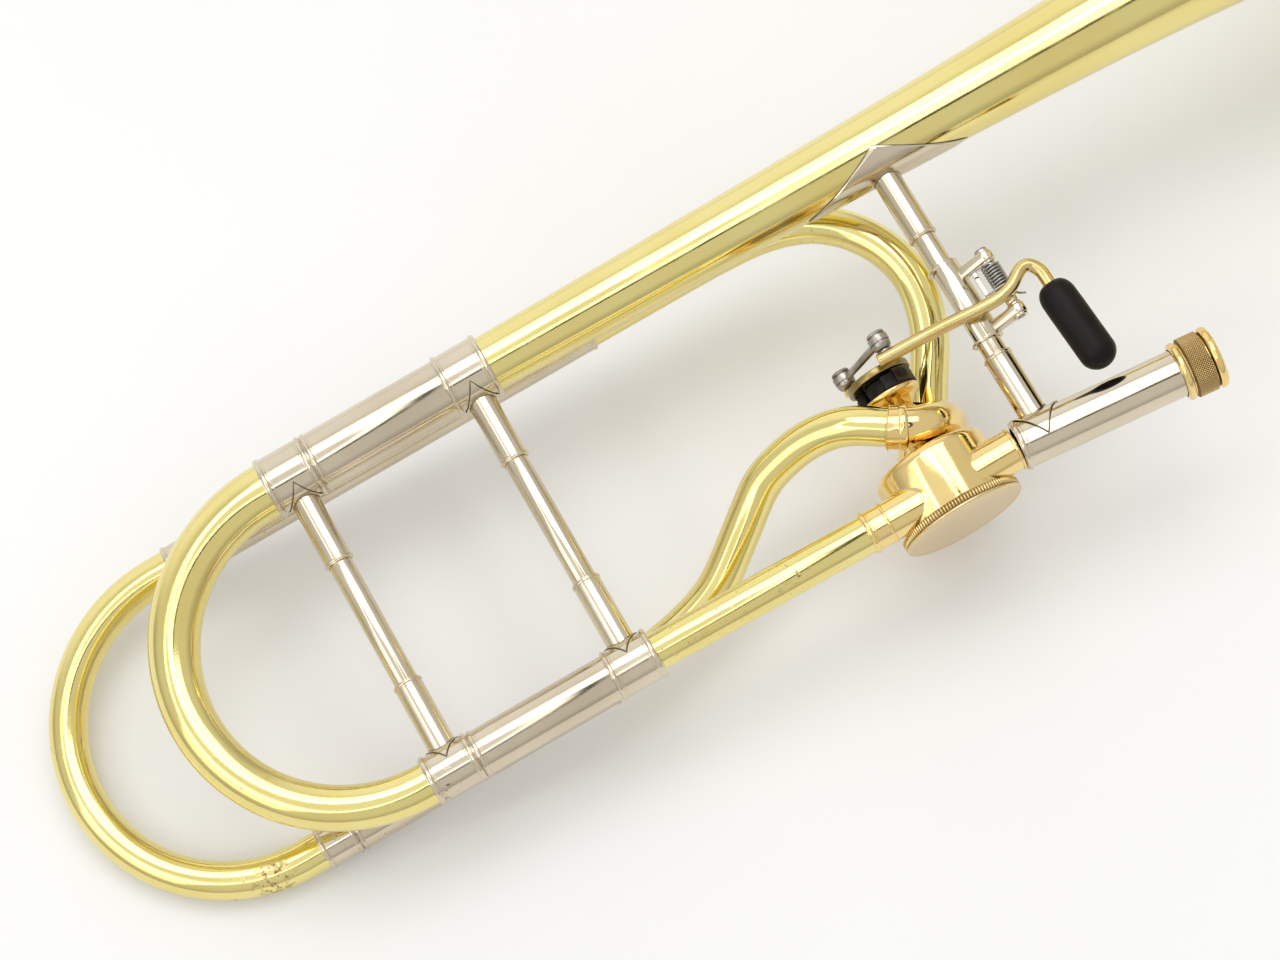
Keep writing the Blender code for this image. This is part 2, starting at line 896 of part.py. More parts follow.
# The lower crook leaves the valve, arches over and drops to the lower leg of the F slide.
lower_knots = (
    (196.5, 27.2, 2.0),
    (186.0, 34.7, 0.9),
    (177.0, 38.5, -3.0),
    (168.2, 39.7, -6.8),
    (160.2, 39.1, -10.4),
    (152.0, 37.5, -14.2),
    (145.7, 34.1, -17.2),
    (138.8, 29.2, -20.2),
    (130.0, 22.9, -23.0),
    (122.0, 17.3, -25.6),
    (112.6, 12.6, -28.0),
    (97.0, 8.9, -30.0),
    (80.0, 6.3, -30.0),
    (70.6, F_LOWER_Y, F_Z),
    (62.0, F_LOWER_Y, F_Z),
)
pipe("f_crook_lower", smooth_path(lower_knots, 2), (7.0, 7.0), 0.6, 3, instrument, YELLOW_BRASS)
upper_knots = (
    (218.2, 39.0, -41.0),
    (223.2, 47.0, -37.6),
    (229.3, 56.0, -34.4),
    (233.6, 67.0, -31.8),
    (235.4, 79.5, -30.4),
    (232.4, 93.4, F_Z),
    (224.9, 106.0, F_Z),
    (213.6, 115.6, F_Z),
    (199.0, 120.6, F_Z),
    (182.0, F_UPPER_Y - 0.2, F_Z),
    (150.0, F_UPPER_Y, F_Z),
    (118.0, F_UPPER_Y, F_Z),
)
pipe("f_crook_upper", smooth_path(upper_knots, 2), (7.0, 7.0), 0.6, 3, instrument, YELLOW_BRASS)


# Each port pipe leaves the far side of the casing. The lower crook's pipe comes back over the
# casing's top, in front of the housing's neck; the upper crook's pipe stays behind.
f_port_lower_knots = (
    (F_PORT_RIGHT_X, LINE_Y, -31.2),
    (F_PORT_RIGHT_X, LINE_Y + 0.3, -34.0),
    (F_PORT_RIGHT_X + 0.4, 2.2, -40.4),
    (F_PORT_RIGHT_X + 1.0, 9.4, -43.8),
    (F_PORT_RIGHT_X + 1.8, 16.6, -42.0),
    (F_PORT_RIGHT_X + 2.6, 21.2, -35.6),
    (217.6, 22.4, -27.0),
    (217.4, 22.4, -18.0),
    (215.6, 22.0, -9.2),
    (211.6, 21.9, -2.2),
    (205.4, 22.6, 1.2),
    (198.4, 26.0, 2.0),
)
f_port_upper_knots = (
    (F_PORT_LEFT_X, LINE_Y, -31.2),
    (F_PORT_LEFT_X, LINE_Y + 0.4, -36.0),
    (F_PORT_LEFT_X + 0.4, 2.6, -44.0),
    (F_PORT_LEFT_X + 2.4, 10.0, -50.6),
    (F_PORT_LEFT_X + 8.0, 19.0, -54.0),
    (206.4, 27.4, -51.6),
    (213.0, 33.6, -46.6),
    (216.9, 37.4, -42.6),
)
pipe(
    "f_port_lower",
    smooth_path(f_port_lower_knots, 2),
    (7.0, 7.0),
    0.6,
    3,
    instrument,
    ROSE_BRASS,
)
pipe(
    "f_port_upper",
    smooth_path(f_port_upper_knots, 2),
    (7.0, 7.0),
    0.6,
    3,
    instrument,
    ROSE_BRASS,
)

# A short post holds the F slide off the bell joint.
stay_top = Vector((BRACE_2_X, LEG_SPACING, 0.0))
stay_run = Vector((BRACE_2_X, F_UPPER_Y, F_Z)) - stay_top
stay_reach = stay_run.length
lathe(
    "f_stay",
    [
        (0.0, 11.85),
        (3.0, 11.85),
        (2.0, 13.4),
        (2.0, stay_reach - 10.2),
        (3.0, stay_reach - 8.15),
        (0.0, stay_reach - 8.15),
    ],
    16,
    instrument,
    NICKEL,
    tuple(stay_top),
    tuple(stay_run),
)

# ---------------------------------------------------------------- thumb lever
ARM_UPPER_Y = 61.0
ARM_LOWER_Y = 39.0
SADDLE_AT = (BRACE_3_X, 0.0, 0.0)


def half_sleeve(name, inner, outer, start, end, low, high, steps, body, look, centre):
    """A trough round a tube that runs along Y: a rectangle spun through part of a turn."""
    shape = bmesh.new()
    base = Vector(body["at"])
    corners = []
    for radius, y in ((inner, low), (outer, low), (outer, high), (inner, high)):
        turn = math.radians(start)
        at = Vector(
            (centre[0] + radius * math.cos(turn), y, centre[2] + radius * math.sin(turn))
        )
        corners.append(shape.verts.new((at - base) * MM))
    face = shape.faces.new(corners)
    bmesh.ops.spin(
        shape,
        geom=[face] + list(face.edges) + list(face.verts),
        cent=(Vector((centre[0], 0.0, centre[2])) - base) * MM,
        axis=(0.0, 1.0, 0.0),
        angle=-math.radians(end - start),
        steps=steps,
        use_duplicate=False,
    )
    bmesh.ops.recalc_face_normals(shape, faces=shape.faces)
    mesh = bpy.data.meshes.new(name)
    shape.to_mesh(mesh)
    shape.free()
    return finish(add_object(name, mesh), body, look, tuple(base))


saddle = half_sleeve(
    "lever_saddle", 4.7, 5.9, -60.0, 120.0, 36.0, 68.0, 12, instrument, NICKEL, SADDLE_AT
)


def arm_mesh(name, y, thick, root, tip, root_half, tip_half):
    """A flat tapering arm with a rounded tip, extruded along Y, as a helper mesh."""
    shape = bmesh.new()
    along = (Vector(tip) - Vector(root)).normalized()
    side = Vector((-along.z, 0.0, along.x))
    outline = [Vector(root) + side * root_half, Vector(root) - side * root_half]
    for i in range(9):
        turn = math.radians(-90 + 180 * i / 8)
        outline.append(
            Vector(tip) + along * tip_half * math.cos(turn) + side * tip_half * math.sin(turn)
        )
    verts = [shape.verts.new((p.x * MM, (y - thick / 2) * MM, p.z * MM)) for p in outline]
    face = shape.faces.new(verts)
    made = bmesh.ops.extrude_face_region(shape, geom=[face])
    moved = [v for v in made["geom"] if isinstance(v, bmesh.types.BMVert)]
    bmesh.ops.translate(shape, verts=moved, vec=(0.0, thick * MM, 0.0))
    bmesh.ops.recalc_face_normals(shape, faces=shape.faces)
    mesh = bpy.data.meshes.new(name)
    shape.to_mesh(mesh)
    shape.free()
    return cutter(name, add_object(name, mesh), instrument)


ARM_ROOT = (BRACE_3_X + 4.6, 0.0, 2.6)
ARM_TIP = (HINGE_X, 0.0, HINGE_Z)
boolean(saddle, arm_mesh("arm_upper", ARM_UPPER_Y, 4.0, ARM_ROOT, ARM_TIP, 2.4, 3.1), "UNION")
boolean(saddle, arm_mesh("arm_lower", ARM_LOWER_Y, 4.0, ARM_ROOT, ARM_TIP, 2.4, 3.1), "UNION")
boolean(
    saddle,
    rod_mesh(
        "cut_hinge_bore",
        (HINGE_X, ARM_LOWER_Y - 5, HINGE_Z),
        (HINGE_X, ARM_UPPER_Y + 5, HINGE_Z),
        1.35,
        16,
        instrument,
    ),
    "DIFFERENCE",
)
boolean(
    saddle,
    rod_mesh(
        "cut_brace_clearance",
        (BRACE_3_X, 20.0, 0.0),
        (BRACE_3_X, 80.0, 0.0),
        4.7,
        24,
        instrument,
    ),
    "DIFFERENCE",
)
lathe(
    "lever_hinge_rod",
    [
        (0.0, ARM_LOWER_Y - 2.9),
        (0.0, ARM_UPPER_Y + 3.4),
        (1.8, ARM_UPPER_Y + 3.1),
        (2.1, ARM_UPPER_Y + 2.3),
        (1.05, ARM_UPPER_Y + 2.3),
        (1.05, ARM_LOWER_Y - 2.9),
    ],
    16,
    instrument,
    STEEL,
    (HINGE_X, 0.0, HINGE_Z),
    ALONG_Y,
)
lathe(
    "lever_hinge_tube",
    sleeve(ARM_LOWER_Y + 2.3, ARM_UPPER_Y - 2.3, 2.2, 1.35),
    20,
    lever,
    YELLOW_BRASS,
    (HINGE_X, 0.0, HINGE_Z),
    ALONG_Y,
)
lever_knots = (
    (205.6, 48.0, 6.5),
    (229.0, 46.6, 9.2),
    (243.8, 44.8, 11.4),
    (251.8, 44.7, 12.0),
    (256.7, 45.9, 12.0),
    (260.0, 48.0, 11.6),
    (263.4, 50.3, 10.8),
    (266.6, 50.2, 10.2),
    (268.9, 46.9, 9.6),
    (269.3, 43.0, 9.2),
    (269.4, 35.4, 8.8),
)
lever_path = smooth_path(lever_knots, 2)
pipe("lever_rod", lever_path, (LEVER_ROD_R, LEVER_ROD_R), None, 3, lever, YELLOW_BRASS)
GRIP_TOP = Vector((269.3, 39.0, 9.0))
GRIP_BOTTOM = Vector((271.0, 10.6, 8.0))
grip_length = (GRIP_BOTTOM - GRIP_TOP).length
lathe(
    "thumb_grip",
    [
        (2.8, -1.6),
        (4.2, -2.2),
        (5.6, -1.2),
        (6.4, 0.8),
        (6.7, 3.6),
        (6.7, grip_length - 2.0),
        (6.2, grip_length + 1.2),
        (4.9, grip_length + 3.4),
        (2.6, grip_length + 4.6),
        (0.0, grip_length + 4.9),
        (0.0, 6.0),
        (2.8, 6.0),
    ],
    20,
    lever,
    GRIP_PLASTIC,
    tuple(GRIP_TOP),
    tuple(GRIP_BOTTOM - GRIP_TOP),
)
lathe(
    "lever_ball_stud",
    [(0.0, 50.6), (1.4, 50.6), (1.4, 55.2), (0.0, 55.2)],
    16,
    lever,
    STEEL,
    (BALL_LEVER_X, 0.0, BALL_LEVER_Z),
    ALONG_Y,
)

# Return spring: a helix round the hinge tube.
SPRING_R = 3.1
SPRING_TURNS = 8
SPRING_STEPS = 8
spring_path = []
for i in range(SPRING_TURNS * SPRING_STEPS + 1):
    turn = 2 * math.pi * i / SPRING_STEPS
    spring_path.append(
        (
            HINGE_X + SPRING_R * math.cos(turn),
            48.9 + 9.2 * i / (SPRING_TURNS * SPRING_STEPS),
            HINGE_Z + SPRING_R * math.sin(turn),
        )
    )
pipe("return_spring", spring_path, (0.42, 0.42), None, 0, instrument, DARK_STEEL)

# ---------------------------------------------------------------- linkage
WHEEL_BALL = Vector(polar(STOP_ARM_R, STOP_ARM_ANGLE, BALL_Y))
LEVER_BALL = Vector((BALL_LEVER_X, BALL_Y, BALL_LEVER_Z))
link_run = WHEEL_BALL - LEVER_BALL
link_length = link_run.length
link_way = link_run.normalized()
BALL_R = 3.8


def socket(name, at, bore):
    """A ball joint's housing with a domed cap; a bored one takes the stud from below."""
    profile = [
        (BALL_R * 0.62, -3.2),
        (BALL_R * 0.95, -1.4),
        (BALL_R, 0.3),
        (BALL_R * 0.86, 2.0),
        (BALL_R * 0.6, 3.2),
        (0.0, 3.6),
    ]
    if bore:
        profile = [(1.8, -3.2)] + profile + [(0.0, 1.7), (1.8, 1.7)]
    else:
        profile = [(0.0, -3.2)] + profile
    lathe(name, profile, 20, link, STEEL, at, ALONG_Y)


socket("link_socket_lever", tuple(LEVER_BALL), True)
socket("link_socket_wheel", tuple(WHEEL_BALL), False)
lathe(
    "link_rod",
    [
        (0.0, BALL_R + 0.25),
        (0.0, link_length - BALL_R - 0.25),
        (1.6, link_length - BALL_R - 0.25),
        (1.6, BALL_R + 0.25),
    ],
    14,
    link,
    STEEL,
    tuple(LEVER_BALL),
    tuple(link_way),
)
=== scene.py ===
"""Looks of the trombone bell section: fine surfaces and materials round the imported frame.

Every piece is built in the instrument's own frame, in millimetres: +X along the tubes toward
the bell, +Y from the slide side to the bell side, +Z away from the F attachment. PLACE turns
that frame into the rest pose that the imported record's joints describe.
"""

import json
from math import cos, exp, pi, radians, sin, sqrt, tan

import bmesh
import bpy
from mathutils import Matrix, Vector


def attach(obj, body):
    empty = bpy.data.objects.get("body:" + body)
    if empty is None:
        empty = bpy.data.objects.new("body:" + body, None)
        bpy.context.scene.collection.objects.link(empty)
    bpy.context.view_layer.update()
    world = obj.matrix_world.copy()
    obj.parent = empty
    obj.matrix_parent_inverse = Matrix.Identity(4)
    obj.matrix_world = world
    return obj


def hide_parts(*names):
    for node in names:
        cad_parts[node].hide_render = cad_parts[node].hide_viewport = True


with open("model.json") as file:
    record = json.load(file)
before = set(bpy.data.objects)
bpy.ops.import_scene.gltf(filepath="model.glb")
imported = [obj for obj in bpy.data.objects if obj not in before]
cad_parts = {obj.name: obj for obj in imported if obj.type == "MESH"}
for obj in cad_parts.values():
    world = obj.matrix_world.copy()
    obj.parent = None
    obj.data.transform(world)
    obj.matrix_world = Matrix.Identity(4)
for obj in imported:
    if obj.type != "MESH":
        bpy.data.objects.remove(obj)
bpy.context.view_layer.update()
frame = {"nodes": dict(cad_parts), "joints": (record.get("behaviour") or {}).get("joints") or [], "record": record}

MM = 0.001

# ---- where the instrument lies
HINGE = Vector((255.4, 50.0, 7.0))
joints = {joint["name"]: joint for joint in frame["joints"]}
along_x = -Vector(joints["tuning_slide_pull"]["axis"])
along_y = Vector(joints["lever_press"]["axis"])
TURN = Matrix((along_x, along_y, along_x.cross(along_y))).transposed()
ORIGIN = Vector(joints["lever_press"]["pos_m"]) - TURN @ (HINGE * MM)
PLACE = Matrix.Translation(ORIGIN) @ TURN.to_4x4()

BODY_OF = {
    node: body
    for body, members in frame["record"]["behaviour"]["bodies"].items()
    for node in members
}

# ---- driving dimensions
LEG_SPACING = 120.0
BOW_CENTRE_X = -2.0
BOW_RADIUS = LEG_SPACING / 2
FERRULE_LEFT = -0.8
FERRULE_RIGHT = 17.6
OUTER_START = 17.9
OUTER_END = 77.0
JOINT_LEFT = 70.9
JOINT_RIGHT = 88.4
BRACE_1_X = 9.0
BRACE_2_X = 79.7
BRACE_3_X = 242.0

BELL_START = 77.3
BELL_RIM = 541.0
BELL_STEM_R = 10.0
BELL_TAPER = 0.0145
BELL_FLARE_R = 92.3
BELL_FLARE_LENGTH = 41.6
BELL_FLARE_POWER = 0.8
BELL_WALL = 1.1
BELL_TURN = radians(-0.45)

VALVE_X = 203.8
VALVE_Z = -11.5
LINE_Y = -1.4
CASING_R = 21.2
CASING_TOP = 14.5
CASING_BOTTOM = -8.6
CAP_R = 22.8
HOUSING_TOP = 39.5
WHEEL_R = 12.0
WHEEL_BOTTOM = 46.0
WHEEL_TOP = 48.6
STOP_ARM_R = 10.6
STOP_ARM_ANGLE = 198.0
BALL_Y = 54.0
BALL_R = 3.8
BALL_LEVER = Vector((208.9, BALL_Y, 6.5))

RECEIVER_START = 231.0
RECEIVER_TURN = radians(-5.3)
RECEIVER_LENGTH = 74.0
RECEIVER_R = 8.5
NUT_START = 60.8
NUT_END = 75.6

F_Z = -30.0
F_LOWER_Y = 5.4
F_RADIUS = 58.6
F_UPPER_Y = F_LOWER_Y + 2 * F_RADIUS
F_BOW_X = -52.5
F_TUBE_R = 7.0
F_PORT_R = 6.98
F_PORT_OFFSET = 11.0
F_CROOK_FERRULE_R = 7.7

X = Vector((1.0, 0.0, 0.0))
Y = Vector((0.0, 1.0, 0.0))
Z = Vector((0.0, 0.0, 1.0))
UPPER = Vector((0.0, LEG_SPACING, 0.0))
LOWER = Vector((0.0, 0.0, 0.0))
F_UPPER = Vector((0.0, F_UPPER_Y, F_Z))
F_LOWER = Vector((0.0, F_LOWER_Y, F_Z))
VALVE = Vector((VALVE_X, 0.0, VALVE_Z))
BELL_AXIS = Vector((cos(BELL_TURN), sin(BELL_TURN), 0.0))
BELL_AT = Vector((BELL_START, LEG_SPACING, 0.0)) - BELL_AXIS * BELL_START
RECEIVER_AXIS = Vector((cos(RECEIVER_TURN), sin(RECEIVER_TURN), 0.0))
RECEIVER_AT = Vector((RECEIVER_START, LINE_Y, 0.0))

RIM_WIRE_R = 1.35
SOCKET_R = 5.1
FOOT_THICK = 0.5
CAP_TEETH = 120
CAP_KNURL_DEPTH = 0.5
NUT_MARKS = 68
NUT_KNURL_R = 10.95
NUT_KNURL_DEPTH = 0.42
GRIP_R = 6.72
LEVER_ROD_R = 2.4
SPRING_WIRE_R = 0.4
SEAM_R = 0.2
OUTLINE_R = 0.17

# Sides of the round pieces, the angle in degrees over which an edge looks sharp, and the
# rounding at the ends of a sleeve.
TUBE_SIDES = 72
WIDE_SIDES = 144
STAY_SIDES = 48
SMALL_SIDES = 32
WIRE_SIDES = 12
SEAM_SIDES = 8
SHARP = 38.0
SLEEVE_EASE = 0.25

# ---- materials


class Nodes:
    """A short way to build the node tree of a material or of the world."""

    def __init__(self, owner, coordinates="Object"):
        self.owner = owner
        owner.use_nodes = True
        self.tree = owner.node_tree
        self.shader = self.tree.nodes.get("Principled BSDF")
        self.place = self.add("ShaderNodeTexCoord").outputs[coordinates]

    def add(self, kind, **settings):
        node = self.tree.nodes.new(kind)
        for key, value in settings.items():
            setattr(node, key, value)
        return node

    def feed(self, socket, value):
        if isinstance(value, bpy.types.NodeSocket):
            self.tree.links.new(value, socket)
        else:
            socket.default_value = value

    def shade(self, name, value):
        """Give one input of the material's shader a value or a link."""
        self.feed(self.shader.inputs[name], value)

    def noise(self, scale, detail=3.0, stretch=None, rough=0.5):
        """Noise over the instrument; scale is in features per metre."""
        where = self.place
        if stretch is not None:
            mapping = self.add("ShaderNodeMapping")
            mapping.inputs["Scale"].default_value = stretch
            self.feed(mapping.inputs["Vector"], where)
            where = mapping.outputs["Vector"]
        node = self.add("ShaderNodeTexNoise")
        self.feed(node.inputs["Vector"], where)
        for name, value in (("Scale", scale), ("Detail", detail), ("Roughness", rough)):
            node.inputs[name].default_value = value
        return node.outputs["Fac"]

    def remap(self, value, low, high, to_low=0.0, to_high=1.0):
        node = self.add("ShaderNodeMapRange", interpolation_type="SMOOTHSTEP")
        self.feed(node.inputs["Value"], value)
        limits = {"From Min": low, "From Max": high, "To Min": to_low, "To Max": to_high}
        for name, limit in limits.items():
            node.inputs[name].default_value = limit
        return node.outputs["Result"]

    def math(self, operation, first, second):
        node = self.add("ShaderNodeMath", operation=operation)
        self.feed(node.inputs[0], first)
        self.feed(node.inputs[1], second)
        return node.outputs[0]

    def mix(self, amount, first, second):
        node = self.add("ShaderNodeMix", data_type="RGBA")
        self.feed(node.inputs["Factor"], amount)
        for socket, value in ((node.inputs[6], first), (node.inputs[7], second)):
            self.feed(socket, (*value, 1.0) if isinstance(value, tuple) else value)
        return node.outputs[2]

    def vector(self, operation, first, second=(0.0, 0.0, 0.0), output="Vector"):
        node = self.add("ShaderNodeVectorMath", operation=operation)
        self.feed(node.inputs[0], first)
        node.inputs[1].default_value = tuple(second)
        return node.outputs[output]

    def near(self, centre, radius):
        """1 at a point of the instrument, falling to 0 a radius away (both in millimetres)."""
        away = self.vector("DISTANCE", self.place, Vector(centre) * MM, "Value")
        return self.remap(away, radius * MM, radius * 0.25 * MM)

    def from_axis(self, at, axis):
        """Distance in metres from a line through the instrument."""
        away = self.vector("SUBTRACT", self.place, Vector(at) * MM)
        return self.vector(
            "LENGTH", self.vector("CROSS_PRODUCT", away, Vector(axis).normalized()), output="Value"
        )

    def bump(self, height, distance, strength, under=None):
        node = self.add("ShaderNodeBump")
        node.inputs["Strength"].default_value = strength
        node.inputs["Distance"].default_value = distance
        self.feed(node.inputs["Height"], height)
        if under is not None:
            self.feed(node.inputs["Normal"], under)
        return node.outputs["Normal"]


def polished_metal(name, base, warm, tarnish, roughness, freckles, coat, stains=()):
    """Polished metal: cloudy tint, fine scratches, freckles of tarnish and local stains."""
    n = Nodes(bpy.data.materials.new(name))
    tint = n.remap(n.noise(28.0, 3.0), 0.35, 0.70)
    colour = n.mix(n.math("MULTIPLY", tint, 0.55), base, warm)
    cluster = n.remap(n.noise(16.0, 2.0), 0.56, 0.72)
    spots = n.remap(n.noise(800.0, 2.0), 0.70 - 0.04 * freckles, 0.76 - 0.04 * freckles)
    spots = n.math("MULTIPLY", spots, n.math("MULTIPLY", cluster, 0.85))
    for centre, radius, strength, cover in stains:
        grain = n.remap(n.noise(330.0, 5.0, rough=0.7), 0.62 - cover, 0.72 - cover)
        patch = n.math("MULTIPLY", n.near(centre, radius), grain)
        spots = n.math("MAXIMUM", spots, n.math("MULTIPLY", patch, strength))
    colour = n.mix(spots, colour, tarnish)
    n.shade("Base Color", colour)
    metallic = n.math("SUBTRACT", 1.0, n.math("MULTIPLY", spots, 0.55))
    n.shade("Metallic", metallic)
    scratch = n.remap(n.noise(900.0, 2.0, stretch=(0.06, 1.0, 1.0)), 0.45, 0.75)
    smudge = n.remap(n.noise(38.0, 4.0), 0.40, 0.72)
    rough = n.math("ADD", roughness, n.math("MULTIPLY", smudge, 0.07))
    rough = n.math("ADD", rough, n.math("MULTIPLY", scratch, 0.05))
    rough = n.math("ADD", rough, n.math("MULTIPLY", spots, 0.40))
    n.shade("Roughness", rough)
    wave = n.bump(n.noise(24.0, 1.0), 0.0012, 0.05)
    fine = n.bump(scratch, 0.00002, 0.12, wave)
    pits = n.bump(n.math("SUBTRACT", 1.0, spots), 0.00012, 0.5, fine)
    n.shade("Normal", pits)
    n.shader.inputs["Coat Weight"].default_value = coat
    n.shader.inputs["Coat Roughness"].default_value = 0.06
    return n.owner


def knurled_metal(name, base, dark, at, axis, crest, depth):
    """Knurling: bright crests, and painted shade darkening the cuts between them, a little unevenly; the shaded
    cuts are also rougher.
    """
    n = Nodes(bpy.data.materials.new(name))
    cut = n.remap(n.from_axis(at, axis), (crest - depth * 0.25) * MM, (crest - depth * 0.80) * MM)
    unevenness = n.remap(n.noise(150.0, 3.0), 0.35, 0.70, 0.75, 1.0)
    # painted shade: the cuts between the crests are mixed toward the dark colour, by a random amount
    cut_shade = n.math("MULTIPLY", cut, unevenness)
    n.shade("Base Color", n.mix(cut_shade, base, dark))
    n.shader.inputs["Metallic"].default_value = 1.0
    n.shade("Roughness", n.math("ADD", 0.22, n.math("MULTIPLY", cut_shade, 0.4)))
    n.shade("Normal", n.bump(n.noise(1500.0, 2.0), 0.00003, 0.2))
    return n.owner


def satin_metal(name, base, dark, roughness, scale):
    """Plated or worn steel: satin, a little grimy, with a fine grain."""
    n = Nodes(bpy.data.materials.new(name))
    grime = n.remap(n.noise(scale, 4.0), 0.42, 0.70)
    n.shade("Base Color", n.mix(grime, base, dark))
    n.shader.inputs["Metallic"].default_value = 1.0
    grain = n.noise(2600.0, 2.0)
    rough = n.math("ADD", roughness, n.math("MULTIPLY", grime, 0.14))
    n.shade("Roughness", rough)
    n.shade("Normal", n.bump(grain, 0.00003, 0.35))
    return n.owner


def moulded(name, base, light, roughness, grain_scale, depth):
    """Moulded plastic or rubber: faint mottling, scuffs and a fine grained skin."""
    n = Nodes(bpy.data.materials.new(name))
    mottle = n.remap(n.noise(120.0, 4.0), 0.38, 0.72)
    scuff = n.remap(n.noise(700.0, 3.0, stretch=(1.0, 0.12, 1.0)), 0.66, 0.78)
    colour = n.mix(mottle, base, light)
    colour = n.mix(n.math("MULTIPLY", scuff, 0.25), colour, (0.16, 0.13, 0.12))
    n.shade("Base Color", colour)
    rough = n.math("ADD", roughness, n.math("MULTIPLY", mottle, 0.10))
    n.shade("Roughness", rough)
    n.shade("Normal", n.bump(n.noise(grain_scale, 3.0), depth, 0.25))
    n.shader.inputs["Specular IOR Level"].default_value = 0.18
    return n.owner


BROWN = (0.20, 0.075, 0.03)
DARK_BROWN = (0.10, 0.06, 0.03)
LEMON = (0.86, 0.745, 0.30)
LEMON_WARM = (0.82, 0.66, 0.22)
BRASS = "yellow_brass"
ROSE = "rose_brass"
NICKEL = "nickel_silver"
LOOKS = {
    BRASS: polished_metal(
        "lacquered_yellow_brass", LEMON, LEMON_WARM, DARK_BROWN, 0.085, 0.6, 0.25,
        (((112.0, -3.0, 6.5), 22.0, 0.9, 0.02), ((141.0, -3.0, 6.5), 9.0, 0.9, 0.06)),
    ),
    "f_bow_brass": polished_metal(
        "lacquered_yellow_brass_worn", LEMON, LEMON_WARM, BROWN, 0.09, 0.6, 0.25,
        (
            ((-66.0, 3.0, -24.0), 11.0, 0.95, 0.12),
            ((-80.0, 7.0, -26.0), 10.0, 0.8, 0.03),
            ((-112.0, 88.0, -31.0), 20.0, 0.6, 0.02),
        ),
    ),
    ROSE: polished_metal(
        "lacquered_rose_brass", (0.91, 0.70, 0.30), (0.87, 0.61, 0.22), DARK_BROWN, 0.08, 0.4, 0.25
    ),
    NICKEL: polished_metal(
        "polished_nickel_silver", (0.72, 0.635, 0.485), (0.60, 0.505, 0.37), (0.09, 0.07, 0.05),
        0.09, 0.8, 0.12,
        (((5.0, -5.0, 6.0), 9.0, 0.9, 0.05), ((-36.0, 7.0, -24.0), 10.0, 0.9, 0.03)),
    ),
    "steel": satin_metal("worn_plated_steel", (0.42, 0.385, 0.35), (0.24, 0.20, 0.18), 0.28, 150.0),
    "wheel_bronze": polished_metal(
        "tarnished_stop_wheel", (0.36, 0.275, 0.10), (0.22, 0.16, 0.06), DARK_BROWN, 0.24, 1.0, 0.1
    ),
    "aged_brass": polished_metal(
        "handled_lever_brass", (0.72, 0.56, 0.24), (0.55, 0.39, 0.14), DARK_BROWN, 0.15, 1.0, 0.1
    ),
    # the second colour is the painted shade in the cuts of the cap's knurling
    "cap_knurling": knurled_metal(
        "cap_knurling", (0.86, 0.66, 0.30), (0.30, 0.19, 0.07), VALVE, Y, CAP_R, CAP_KNURL_DEPTH
    ),
    "cap_brass": polished_metal(
        "worn_valve_cap", (0.80, 0.64, 0.37), (0.72, 0.53, 0.28), DARK_BROWN, 0.20, 0.8, 0.1
    ),
    # the second colour is the painted shade in the cuts of the nut's knurling
    "nut_knurling": knurled_metal(
        "nut_knurling", (0.62, 0.44, 0.19), (0.13, 0.07, 0.025),
        RECEIVER_AT, RECEIVER_AXIS, NUT_KNURL_R, NUT_KNURL_DEPTH,
    ),
    "bumper_carrier": satin_metal(
        "bumper_carrier", (0.10, 0.08, 0.045), (0.04, 0.03, 0.02), 0.3, 200.0
    ),
    "seam": satin_metal("solder_seam", (0.22, 0.18, 0.13), (0.10, 0.08, 0.05), 0.35, 300.0),
    "spring_steel": satin_metal("spring_wire", (0.40, 0.40, 0.40), (0.24, 0.24, 0.23), 0.22, 60.0),
    "bumper_rubber": moulded(
        "black_bumper", (0.012, 0.011, 0.010), (0.03, 0.025, 0.02), 0.5, 900.0, 0.0001
    ),
    "grip_plastic": moulded(
        "dark_brown_grip", (0.005, 0.0035, 0.004), (0.010, 0.006, 0.006), 0.38, 1600.0, 0.00006
    ),
}

# ---- mesh building


def new_object(name, data):
    obj = bpy.data.objects.new(name, data)
    bpy.context.scene.collection.objects.link(obj)
    return obj


def piece(name, mesh, look, nodes=(), body=None, sharp=SHARP):
    """Put a mesh in place, give it its finish and let it move with its CAD body.

    A piece whose name holds _skin takes the place of the CAD node that has the rest of the name,
    unless other nodes are given. A piece with no node of its own rides on the horn, unless a
    body is given.
    """
    if "_skin" in name and not nodes:
        nodes = [name.replace("_skin", "")]
    obj = new_object(name, mesh)
    obj.matrix_world = PLACE
    mesh.materials.clear()
    mesh.materials.append(LOOKS[look])
    mesh.shade_smooth()
    mesh.set_sharp_from_angle(angle=radians(sharp))
    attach(obj, body or (BODY_OF[nodes[0]] if nodes else "horn"))
    if nodes:
        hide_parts(*nodes)
    return obj


def lathe(name, profile, sides, at, axis, look, nodes=(), body=None, relief=None, sharp=SHARP):
    """A turned piece, put in place."""
    return piece(name, turned(name, profile, sides, at, axis, relief), look, nodes, body, sharp)


def pipe(name, path, radius_at, sides, look, nodes=(), body=None, flat=1.0, round_ends=0.0):
    """A swept piece, put in place; radius_at may also be one number."""
    rule = radius_at if callable(radius_at) else lambda share: radius_at
    return piece(name, swept(name, path, rule, sides, flat, round_ends), look, nodes, body)


def mesh_from(name, shape):
    """The finished mesh of a bmesh, with every face pointing out."""
    bmesh.ops.recalc_face_normals(shape, faces=shape.faces)
    mesh = bpy.data.meshes.new(name)
    shape.to_mesh(mesh)
    shape.free()
    return mesh


